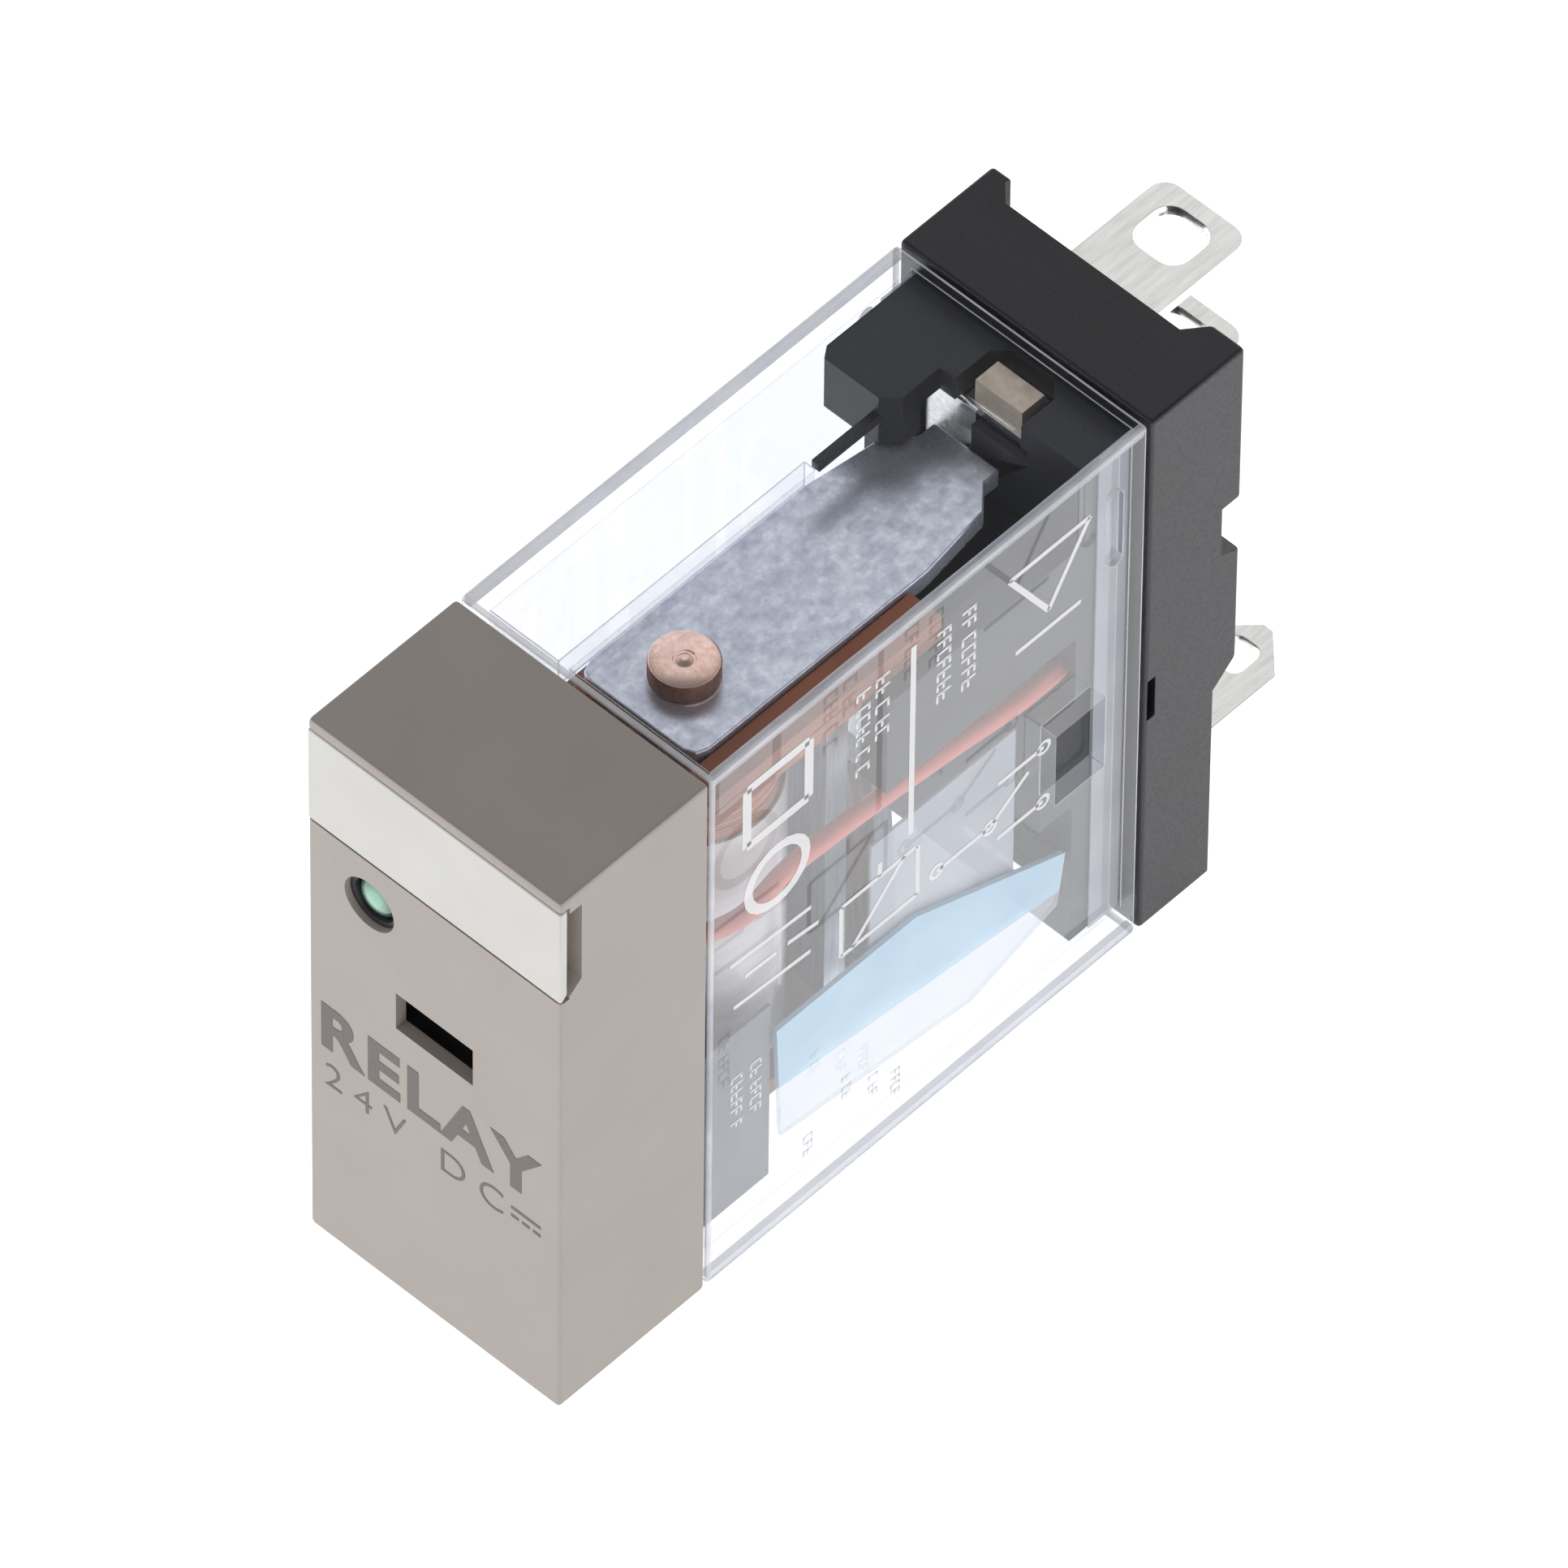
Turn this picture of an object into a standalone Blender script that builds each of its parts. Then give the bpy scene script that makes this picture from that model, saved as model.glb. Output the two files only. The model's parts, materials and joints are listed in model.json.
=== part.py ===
"""Plug-in power relay with a clear case, a grey front cap, an LED and a mechanical indicator.

World frame, metres: X across the narrow width, -Y out of the front cap, +Y out of the plug blades,
+Z up along the tall side. The origin is under the middle of the whole relay, on the surface it stands on.
Sizes below are in millimetres. y is counted from the face of the front cap towards the blades.
"""
import math

import bpy
import bmesh
from mathutils import Matrix, Vector

MM = 0.001

# Overall sizes
BODY_WIDTH = 12.4
BODY_HEIGHT = 28.8
CAP_DEPTH = 7.7
CASE_DEPTH = 22.8
BASE_DEPTH = 5.0
BLADE_LENGTH = 5.3

# Shells
CAP_WALL = 1.0
CASE_WALL = 0.8
NOSE_WALL = 0.8
NOSE_LENGTH = 3.2
SHELL_GAP = 0.15
EDGE_RADIUS = 0.18
PEDESTAL_DEPTH = 2.65
SIDE_OPENING_LENGTH = 2.6
SIDE_OPENING_HEIGHT = 3.9
SIDE_OPENING_SETBACK = 3.3
SIDE_OPENING_Z = 13.25
DECK_THICKNESS = 0.85

# Front cap features
PLATE_HEIGHT = 4.95
PLATE_THICKNESS = 0.38
PLATE_TOP_LEDGE = 0.5
LED_RADIUS = 1.0
LED_HOLE_CLEARANCE = 0.22
LED_X = -3.2
LED_Z = 20.8
WINDOW_WIDTH = 3.8
WINDOW_HEIGHT = 2.0
WINDOW_Z = 15.9
WINDOW_WALL = 0.55
BOARD_THICKNESS = 0.6
BOARD_Y = 3.0

# Magnet system
MAGNET_X = 0.0
CORE_RADIUS = 1.6
CORE_Y = 12.9
RIVET_RADIUS = 1.35
RIVET_HEIGHT = 0.95
POLE_RADIUS = 2.5
POLE_THICKNESS = 0.7
COIL_RADIUS = 3.7
SLEEVE_WALL = 0.6
FLANGE_THICKNESS = 0.8
FLANGE_DEPTH = 8.3
YOKE_TOP_Z = 25.0
YOKE_THICKNESS = 0.9
YOKE_HALF_WIDTH = 2.95
YOKE_TAB_HALF = 1.6
YOKE_TAB_LENGTH = 5.2
YOKE_BODY_LENGTH = 12.0
YOKE_TAPER_LENGTH = 3.4
YOKE_TAPER_HALF = 2.5
YOKE_SHOULDER = 1.0
YOKE_LEG_THICKNESS = 1.1
POLE_FACE_Z = 3.9
PART_GAP = 0.1
RUN_GAP = 0.15
INSET = 0.08

# Armature, card and contacts
ARMATURE_THICKNESS = 0.95
ARMATURE_TRAVEL_DEG = 3.0
PIVOT_BEHIND_LEG = 0.4
ARMATURE_LEG_OFFSET = 1.6
ARMATURE_LEG_TOP = 11.6
CARD_LIFT = 10.9
CARD_HEIGHT = 1.0
SPRING_THICKNESS = 0.2
SPRING_PIVOT_Z = 20.3
CONTACT_RADIUS = 0.9
CONTACT_HEAD = 0.5
FIXED_HEAD = 0.6
CONTACT_Z = 12.9
CONTACT_X = -1.6

# Terminals
BLADE_THICKNESS = 0.5
BLADE_WIDTH = 4.26
BLADE_X = -0.55
BLADE_CHAMFER = 0.75
BLADE_PITCH = 5.5
BLADE_TOP_Z = 26.3
COIL_BLADE_WIDTH = 3.45
COIL_BLADE_X = 3.0
COIL_BLADE_Z = 5.4
COIL_BLADE_CHAMFER = 1.5
SLOT_CLEARANCE = 0.1
LUG_X = 0.75
LUG_WIDTH = 2.3
LUG_DEPTH = 1.2
LUG_HEIGHT = 1.4
LUG_SETBACK = 0.55

# Wires
LEAD_RADIUS = 0.42
COIL_WIRE_RADIUS = 0.15
PIN_RADIUS = 0.3

# Values worked out from the sizes above
HALF_WIDTH = BODY_WIDTH / 2
CASE_FRONT = CAP_DEPTH
CASE_BACK = CAP_DEPTH + CASE_DEPTH
BASE_BACK = CASE_BACK + BASE_DEPTH
BLADE_TIP = BASE_BACK + BLADE_LENGTH
MID_Y = BLADE_TIP / 2
INNER_HALF = HALF_WIDTH - CASE_WALL
INNER_BOTTOM = CASE_WALL
INNER_TOP = BODY_HEIGHT - CASE_WALL
NOSE_HALF = HALF_WIDTH - CAP_WALL - SHELL_GAP
NOSE_BOTTOM = CAP_WALL + SHELL_GAP
NOSE_TOP = BODY_HEIGHT - CAP_WALL - SHELL_GAP
NOSE_FRONT = CAP_DEPTH - NOSE_LENGTH
NOSE_INSIDE = NOSE_FRONT + NOSE_WALL
CAVITY_FRONT = CASE_FRONT + CASE_WALL
PEDESTAL_FRONT = CASE_BACK - PEDESTAL_DEPTH
PEDESTAL_HALF = INNER_HALF - SHELL_GAP
PEDESTAL_BOTTOM = INNER_BOTTOM + SHELL_GAP
PEDESTAL_TOP = INNER_TOP - SHELL_GAP
PLATE_TOP = BODY_HEIGHT - PLATE_TOP_LEDGE - PART_GAP
PLATE_BOTTOM = PLATE_TOP - PLATE_HEIGHT
YOKE_BOTTOM_Z = YOKE_TOP_Z - YOKE_THICKNESS
YOKE_FRONT = CORE_Y - 2.5
YOKE_SHOULDER_Y = YOKE_FRONT + YOKE_BODY_LENGTH
YOKE_TAB_END = YOKE_SHOULDER_Y + YOKE_TAB_LENGTH
TOP_FLANGE_TOP = YOKE_BOTTOM_Z - PART_GAP
TOP_FLANGE_BOTTOM = TOP_FLANGE_TOP - FLANGE_THICKNESS
LOW_FLANGE_BOTTOM = POLE_FACE_Z + POLE_THICKNESS + PART_GAP
LOW_FLANGE_TOP = LOW_FLANGE_BOTTOM + FLANGE_THICKNESS
SLEEVE_RADIUS = CORE_RADIUS + PART_GAP + SLEEVE_WALL
FLANGE_FRONT = CORE_Y - COIL_RADIUS - 0.3
FLANGE_BACK = FLANGE_FRONT + FLANGE_DEPTH
LEG_FRONT = FLANGE_BACK + 0.2
LEG_BACK = LEG_FRONT + YOKE_LEG_THICKNESS
PIVOT_Y = LEG_BACK + PIVOT_BEHIND_LEG
ARMATURE_TOP_Z = POLE_FACE_Z - PART_GAP
PIVOT_Z = ARMATURE_TOP_Z - 0.1
CARD_Z = PIVOT_Z + CARD_LIFT
TRAVEL = math.radians(ARMATURE_TRAVEL_DEG)
CARD_TRAVEL = CARD_LIFT * math.sin(TRAVEL)
COM_BLADE_Z = BLADE_TOP_Z - BLADE_PITCH
NO_BLADE_Z = COM_BLADE_Z - BLADE_PITCH
LEG_TWO_FRONT = PIVOT_Y + ARMATURE_LEG_OFFSET
LEG_TWO_BACK = LEG_TWO_FRONT + ARMATURE_THICKNESS
CARD_FRONT = LEG_TWO_BACK - CARD_TRAVEL + RUN_GAP
CARD_LENGTH = 3.4
CARD_BACK = CARD_FRONT + CARD_LENGTH
SPRING_Y = CARD_BACK + RUN_GAP
CONTACT_MID_Y = SPRING_Y + SPRING_THICKNESS / 2
SPRING_SWING = math.asin(CARD_TRAVEL / (SPRING_PIVOT_Z - CARD_Z))
CONTACT_GAP = (SPRING_PIVOT_Z - CONTACT_Z + CONTACT_RADIUS) * math.sin(SPRING_SWING)
DECK_Z = COM_BLADE_Z + 0.7


def at(x, y, z):
    """Point in metres from x, distance behind the cap face and height, all in millimetres."""
    return Vector((x * MM, (y - MID_Y) * MM, z * MM))


# ---------------------------------------------------------------- scene and material helpers

def clear_scene():
    for old in list(bpy.data.objects):
        bpy.data.objects.remove(old, do_unlink=True)
    for old in list(bpy.data.collections):
        bpy.data.collections.remove(old)


def new_collection(name):
    made = bpy.data.collections.new(name)
    bpy.context.scene.collection.children.link(made)
    return made


def material(name, color, roughness, metallic=0.0, alpha=1.0):
    made = bpy.data.materials.new(name)
    made.use_nodes = True
    shader = made.node_tree.nodes["Principled BSDF"]
    shader.inputs["Base Color"].default_value = (*color, 1.0)
    shader.inputs["Roughness"].default_value = roughness
    shader.inputs["Metallic"].default_value = metallic
    shader.inputs["Alpha"].default_value = alpha
    made.diffuse_color = (*color, alpha)
    return made


clear_scene()
PARTS = new_collection("control_relay")
CUTTERS = new_collection("cutters")


def add_object(name, mesh, finish, collection=None):
    made = bpy.data.objects.new(name, mesh)
    (collection or PARTS).objects.link(made)
    if finish:
        mesh.materials.append(finish)
    return made


def guide(name, mesh):
    """A cutting or joining shape, kept out of the finished parts."""
    made = add_object(name, mesh, None, CUTTERS)
    made.hide_render = True
    made.display_type = "WIRE"
    return made


# ---------------------------------------------------------------- shape helpers

def box_mesh(name, low, high):
    """Box between two (x, y, z) corners in millimetres, y from the cap face."""
    low, high = at(*low), at(*high)
    bm = bmesh.new()
    bmesh.ops.create_cube(bm, size=1.0)
    bmesh.ops.scale(bm, vec=high - low, verts=bm.verts)
    bmesh.ops.translate(bm, vec=(low + high) / 2, verts=bm.verts)
    mesh = bpy.data.meshes.new(name)
    bm.to_mesh(mesh)
    bm.free()
    return mesh


def rod_mesh(name, start, end, radius, sides=24, end_radius=None):
    """Closed cylinder or cone between two points in millimetres."""
    start, end = at(*start), at(*end)
    along = end - start
    turn = along.to_track_quat("Z", "Y").to_matrix().to_4x4()
    bm = bmesh.new()
    bmesh.ops.create_cone(bm, cap_ends=True, segments=sides, radius1=radius * MM,
                          radius2=(end_radius or radius) * MM, depth=along.length,
                          matrix=Matrix.Translation((start + end) / 2) @ turn)
    mesh = bpy.data.meshes.new(name)
    bm.to_mesh(mesh)
    bm.free()
    return mesh


def smooth(target, degrees=35):
    target.data.shade_smooth()
    target.data.set_sharp_from_angle(angle=math.radians(degrees))
    return target


def evaluated_mesh(source, name):
    """Mesh of an object with its modifiers, or of a curve, in world space."""
    bpy.context.view_layer.update()
    shown = source.evaluated_get(bpy.context.evaluated_depsgraph_get())
    mesh = bpy.data.meshes.new_from_object(shown)
    mesh.name = name
    mesh.transform(source.matrix_world)
    return mesh


def outline_mesh(name, points, low, high, plane):
    """Flat outline extruded from low to high across its plane.

    plane XY takes (x, y) points and heights z; plane YZ takes (y, z) points and positions x.
    """
    curve = bpy.data.curves.new(name, "CURVE")
    curve.dimensions = "2D"
    curve.fill_mode = "BOTH"
    curve.extrude = (high - low) / 2 * MM
    spline = curve.splines.new("POLY")
    spline.points.add(len(points) - 1)
    for point, (u, v) in zip(spline.points, points):
        point.co = (u * MM, v * MM, 0.0, 1.0)
    spline.use_cyclic_u = True
    shape = add_object(name + "_outline", curve, None, CUTTERS)
    middle = (low + high) / 2 * MM
    if plane == "XY":
        shape.matrix_world = Matrix.Translation((0, -MID_Y * MM, middle))
    else:
        cycle = Matrix(((0, 0, 1, 0), (1, 0, 0, 0), (0, 1, 0, 0), (0, 0, 0, 1)))
        shape.matrix_world = Matrix.Translation((middle, -MID_Y * MM, 0)) @ cycle
    mesh = evaluated_mesh(shape, name)
    bpy.data.objects.remove(shape)
    bm = bmesh.new()
    bm.from_mesh(mesh)
    bmesh.ops.remove_doubles(bm, verts=bm.verts, dist=0.000001)
    bmesh.ops.recalc_face_normals(bm, faces=bm.faces)
    bm.to_mesh(mesh)
    bm.free()
    return mesh


def combine(target, mesh, operation):
    """Join a mesh to the target, or cut it away, with an exact Boolean."""
    tool = guide(f"{target.name}_{operation.lower()}_{len(target.modifiers)}", mesh)
    step = target.modifiers.new(tool.name, "BOOLEAN")
    step.operation = operation
    step.solver = "EXACT"
    step.object = tool
    return step


def join_box(target, low, high):
    combine(target, box_mesh(target.name + "_joined", low, high), "UNION")


def cut_box(target, low, high):
    combine(target, box_mesh(target.name + "_cut", low, high), "DIFFERENCE")


def cut_rod(target, start, end, radius, sides=24):
    combine(target, rod_mesh(target.name + "_bore", start, end, radius, sides), "DIFFERENCE")


def round_edges(target, width, segments=2, angle=50):
    step = target.modifiers.new("rounded_edges", "BEVEL")
    step.width = width * MM
    step.segments = segments
    step.limit_method = "ANGLE"
    step.angle_limit = math.radians(angle)
    return step


def apply_modifiers(target):
    mesh = evaluated_mesh(target, target.name)
    target.modifiers.clear()
    target.data = mesh
    return target


def turned(name, profile, centre, finish, steps=28):
    """Profile of (radius, height) points in millimetres, top first, spun about a vertical axis."""
    bm = bmesh.new()
    points = [bm.verts.new((radius * MM, 0.0, height * MM)) for radius, height in profile]
    for first, second in zip(points, points[1:]):
        bm.edges.new((first, second))
    mesh = bpy.data.meshes.new(name)
    bm.to_mesh(mesh)
    bm.free()
    made = add_object(name, mesh, finish)
    made.location = at(centre[0], centre[1], 0)
    spin = made.modifiers.new("spin", "SCREW")
    spin.steps = steps
    spin.render_steps = steps
    spin.use_merge_vertices = True
    spin.merge_threshold = 0.000001
    spin.use_smooth_shade = True
    return made


def smooth_route(points, per_span=5):
    """Points along a Catmull-Rom curve through the given places, in millimetres."""
    padded = [2 * Vector(points[0]) - Vector(points[1])] + [Vector(p) for p in points]
    padded.append(2 * Vector(points[-1]) - Vector(points[-2]))
    route = []
    for index in range(1, len(padded) - 2):
        before, start, end, after = padded[index - 1:index + 3]
        for step in range(per_span):
            t = step / per_span
            route.append(0.5 * (2 * start + (end - before) * t
                                + (2 * before - 5 * start + 4 * end - after) * t ** 2
                                + (3 * start - before - 3 * end + after) * t ** 3))
    return route + [Vector(points[-1])]


def wire(name, places, radius, finish, per_span=5):
    """Round wire along a smooth route through the places."""
    curve = bpy.data.curves.new(name, "CURVE")
    curve.dimensions = "3D"
    curve.bevel_depth = radius * MM
    curve.bevel_resolution = 2
    curve.use_fill_caps = True
    route = smooth_route(places, per_span)
    spline = curve.splines.new("POLY")
    spline.points.add(len(route) - 1)
    for point, place in zip(spline.points, route):
        point.co = (*at(*place), 1.0)
    curve.materials.append(finish)
    made = bpy.data.objects.new(name, curve)
    PARTS.objects.link(made)
    return made


def box_part(name, low, high, finish, edge=0.0):
    made = add_object(name, box_mesh(name, low, high), finish)
    if edge:
        round_edges(made, edge)
    return made


def hinge_origin(target, pivot):
    """Move an object's origin onto its joint axis without moving its shape."""
    place = at(*pivot)
    target.data.transform(Matrix.Translation(-place))
    target.location = place
    return target


# ---------------------------------------------------------------- materials

taupe = material("cap_taupe_abs", (0.45, 0.41, 0.38), 0.45)
white_card = material("nameplate_white", (0.78, 0.78, 0.75), 0.5)
clear = material("clear_polycarbonate", (0.9, 0.92, 0.94), 0.05, alpha=0.25)
black = material("black_pbt", (0.02, 0.02, 0.022), 0.45)
tin = material("tinned_copper", (0.75, 0.75, 0.73), 0.22, 1.0)
zinc = material("zinc_plated_steel", (0.6, 0.62, 0.64), 0.35, 1.0)
copper_core = material("coppered_iron", (0.72, 0.45, 0.34), 0.3, 1.0)
copper_wire = material("enamelled_copper", (0.42, 0.16, 0.07), 0.35, 0.6)
phenolic = material("brown_phenolic", (0.16, 0.06, 0.03), 0.5)
film = material("blue_polyester_film", (0.5, 0.68, 0.78), 0.2, alpha=0.6)
tape = material("coil_tape", (0.72, 0.7, 0.7), 0.4)
board_green = material("green_board", (0.03, 0.16, 0.07), 0.5)
led_green = material("green_led", (0.02, 0.2, 0.1), 0.1)
resistor_body = material("resistor_ceramic", (0.5, 0.42, 0.3), 0.5)
diode_body = material("diode_epoxy", (0.03, 0.03, 0.03), 0.4)
red_sleeve = material("red_sleeve", (0.6, 0.08, 0.06), 0.4)
white_nylon = material("natural_nylon", (0.75, 0.72, 0.64), 0.5)
flag_orange = material("indicator_flag", (0.3, 0.26, 0.14), 0.5)
bronze = material("spring_bronze", (0.6, 0.42, 0.22), 0.3, 1.0)
silver = material("contact_silver", (0.8, 0.78, 0.74), 0.25, 1.0)


# ---------------------------------------------------------------- shells

def make_front_cap():
    cap_back = CAP_DEPTH - SHELL_GAP / 2
    cap = box_part("front_cap", (-HALF_WIDTH, 0, 0), (HALF_WIDTH, cap_back, BODY_HEIGHT), taupe, EDGE_RADIUS)
    inner = HALF_WIDTH - CAP_WALL
    cut_box(cap, (-inner, CAP_WALL, CAP_WALL), (inner, cap_back + 1, BODY_HEIGHT - CAP_WALL))
    seat = PLATE_THICKNESS + PART_GAP
    past = HALF_WIDTH + 1
    cut_box(cap, (-past, -1, PLATE_BOTTOM - PART_GAP), (past, seat, PLATE_TOP + PART_GAP))
    relief = [(seat - 0.1, PLATE_TOP - 0.25), (seat + 0.62, PLATE_TOP - 0.25),
              (seat + 0.62, PLATE_BOTTOM + 0.55), (seat - 0.1, PLATE_BOTTOM - 0.05)]
    for side in (-1, 1):
        near, far = sorted((side * (inner + 0.3), side * past))
        combine(cap, outline_mesh("plate_relief", relief, near, far, "YZ"), "DIFFERENCE")
    cut_rod(cap, (LED_X, -1, LED_Z), (LED_X, CAP_WALL + 1, LED_Z), LED_RADIUS + LED_HOLE_CLEARANCE, 32)
    half_window = WINDOW_WIDTH / 2
    # the wall is thinner around the window, from the inside
    cut_box(cap, (-half_window - 0.5, WINDOW_WALL, WINDOW_Z - WINDOW_HEIGHT / 2 - 0.7),
            (half_window + 0.5, CAP_WALL + 1, WINDOW_Z + WINDOW_HEIGHT / 2 + 0.7))
    cut_box(cap, (-half_window, -1, WINDOW_Z - WINDOW_HEIGHT / 2),
            (half_window, CAP_WALL + 1, WINDOW_Z + WINDOW_HEIGHT / 2))
    return cap


def make_nameplate():
    outline = [(0, PLATE_TOP), (PLATE_THICKNESS, PLATE_TOP), (PLATE_THICKNESS, PLATE_BOTTOM + 0.3),
               (PLATE_THICKNESS - 0.3, PLATE_BOTTOM), (0, PLATE_BOTTOM)]
    plate = add_object("nameplate", outline_mesh("nameplate", outline, -HALF_WIDTH, HALF_WIDTH, "YZ"), white_card)
    round_edges(plate, 0.05, 1)
    return plate


def make_clear_case():
    front = CASE_FRONT + SHELL_GAP / 2
    back = CASE_BACK - SHELL_GAP / 2
    case = box_part("clear_case", (-HALF_WIDTH, front, 0), (HALF_WIDTH, back, BODY_HEIGHT), clear, EDGE_RADIUS)
    join_box(case, (-NOSE_HALF, NOSE_FRONT, NOSE_BOTTOM), (NOSE_HALF, front + 0.6, NOSE_TOP))
    nose_inner = NOSE_HALF - NOSE_WALL
    cut_box(case, (-INNER_HALF, CAVITY_FRONT, INNER_BOTTOM), (INNER_HALF, back + 1, INNER_TOP))
    cut_box(case, (-nose_inner, NOSE_INSIDE, NOSE_BOTTOM + NOSE_WALL),
            (nose_inner, CAVITY_FRONT + 1, NOSE_TOP - NOSE_WALL))
    # slot for the indicator and holes for the two lamp leads
    cut_box(case, (-1.95, NOSE_FRONT - 1, FLAG_LOW - 0.3), (1.95, NOSE_INSIDE + 1, FLAG_TOP + FLAG_TRAVEL + 0.3))
    for side in (-1, 1):
        cut_rod(case, (side * LEAD_X, NOSE_FRONT - 1, LEAD_HOLE_Z), (side * LEAD_X, NOSE_INSIDE + 1, LEAD_HOLE_Z), 0.75)
    # inner locating rib beside the yoke and a latch pocket in each broad side
    join_box(case, (RIB_X - 0.25, CAVITY_FRONT - 0.4, INNER_TOP - 1.3), (RIB_X + 0.25, RIB_END, INNER_TOP + 0.4))
    for side in (-1, 1):
        near, far = sorted((side * (HALF_WIDTH - 0.3), side * (HALF_WIDTH + 1)))
        combine(case, outline_mesh("latch_pocket", slot_outline(CASE_BACK - 1.65, 24.4, 4.1, 0.7), near, far, "YZ"),
                "DIFFERENCE")
    # opening in one broad side, over a block of the base
    middle = CASE_BACK - SIDE_OPENING_SETBACK
    cut_box(case, (INNER_HALF - 1, middle - SIDE_OPENING_LENGTH / 2, SIDE_OPENING_Z - SIDE_OPENING_HEIGHT / 2),
            (HALF_WIDTH + 1, middle + SIDE_OPENING_LENGTH / 2, SIDE_OPENING_Z + SIDE_OPENING_HEIGHT / 2))
    return case


def slot_outline(y, z, length, width, steps=6):
    """Upright slot with round ends, as (y, z) points."""
    radius = width / 2
    reach = length / 2 - radius
    points = []
    for end, start in ((reach, 0.0), (-reach, math.pi)):
        for step in range(steps + 1):
            angle = start + math.pi * step / steps
            points.append((y + radius * math.cos(angle), z + end + radius * math.sin(angle)))
    return points


def rounded(x, y, width, depth, corner, steps=5):
    """Rectangle with rounded corners, as (x, y) points."""
    points = []
    for sx, sy, start in ((1, 1, 0.0), (-1, 1, 0.5), (-1, -1, 1.0), (1, -1, 1.5)):
        for step in range(steps + 1):
            angle = math.pi * (start + 0.5 * step / steps)
            points.append((x + sx * (width / 2 - corner) + corner * math.cos(angle),
                           y + sy * (depth / 2 - corner) + corner * math.sin(angle)))
    return points


def make_base():
    front = CASE_BACK + SHELL_GAP / 2
    base = box_part("base", (-HALF_WIDTH, front, 0), (HALF_WIDTH, BASE_BACK, BODY_HEIGHT), black, EDGE_RADIUS)
    join_box(base, (-PEDESTAL_HALF, PEDESTAL_FRONT, PEDESTAL_BOTTOM), (PEDESTAL_HALF, front + 0.6, PEDESTAL_TOP))
    cut_plug_face(base)
    join_inner_blocks(base)
    cut_terminal_slots(base)
    for side in (-1, 1):
        # latch slot at the case joint, and the hole that takes a lamp lead
        near, far = sorted((side * (HALF_WIDTH - 0.7), side * (HALF_WIDTH + 1)))
        cut_box(base, (near, front + 0.15, 11.9), (far, front + 0.55, 14.1))
        cut_rod(base, (side * LEAD_INNER_X, PEDESTAL_FRONT - 1, LEAD_END_Z),
                (side * LEAD_INNER_X, PEDESTAL_FRONT + 1.3, LEAD_END_Z), LEAD_RADIUS + 0.2, 16)
    return base


def cut_plug_face(base):
    """Recesses of the face that the blades come out of, which leave raised feet at its corners."""
    past = BASE_BACK + 1
    floor = BASE_BACK - 1.0
    low = BASE_BACK - 1.25
    wide = HALF_WIDTH + 1
    channel = [(-5.3, past), (-5.3, BASE_BACK - 0.3), (-4.6, floor), (3.9, floor), (4.7, BASE_BACK), (4.7, past)]
    combine(base, outline_mesh("plug_channel", channel, -1, BODY_HEIGHT + 1, "XY"), "DIFFERENCE")
    notch = [(floor, 20.57), (past, 20.57), (past, 17.0), (BASE_BACK, 17.5), (floor, 18.0)]
    combine(base, outline_mesh("side_notch", notch, -wide, wide, "YZ"), "DIFFERENCE")
    step = [(low, -1), (low, 10.5), (BASE_BACK, 11.6), (past, 11.6), (past, -1)]
    combine(base, outline_mesh("low_step", step, -wide, wide, "YZ"), "DIFFERENCE")


def join_inner_blocks(base):
    """Blocks that reach into the case: the stop over the yoke, the contact deck and its side wall."""
    inside = PEDESTAL_FRONT + 0.3
    block = [(-PEDESTAL_HALF, inside), (-PEDESTAL_HALF, 25.8), (-4.9, 25.3), (-2.2, 25.3), (-1.6, 25.9), (-1.6, inside)]
    over_yoke = YOKE_TOP_Z + RUN_GAP
    combine(base, outline_mesh("yoke_stop", block, over_yoke, PEDESTAL_TOP, "XY"), "UNION")
    join_box(base, (RIB_X - 0.75, RIB_END + 0.9, over_yoke + 1.4), (RIB_X - 0.35, 25.6, over_yoke + 1.8))
    deck_top = DECK_Z + DECK_THICKNESS
    join_box(base, (-3.0, 24.1, DECK_Z), (PEDESTAL_HALF, inside, deck_top))
    join_box(base, (0.6, LEG_BACK + 0.5, DECK_Z), (PEDESTAL_HALF, 24.4, deck_top))
    join_box(base, (PEDESTAL_HALF - 1.3, LEG_BACK - 0.6, 18.3), (PEDESTAL_HALF, inside, deck_top + 1.0))
    # block behind the opening of the case
    block_front = CASE_BACK - SIDE_OPENING_SETBACK - SIDE_OPENING_LENGTH / 2 + 0.2
    join_box(base, (PEDESTAL_HALF - 1.2, block_front, 8.8), (PEDESTAL_HALF, inside, 14.7))


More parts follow.
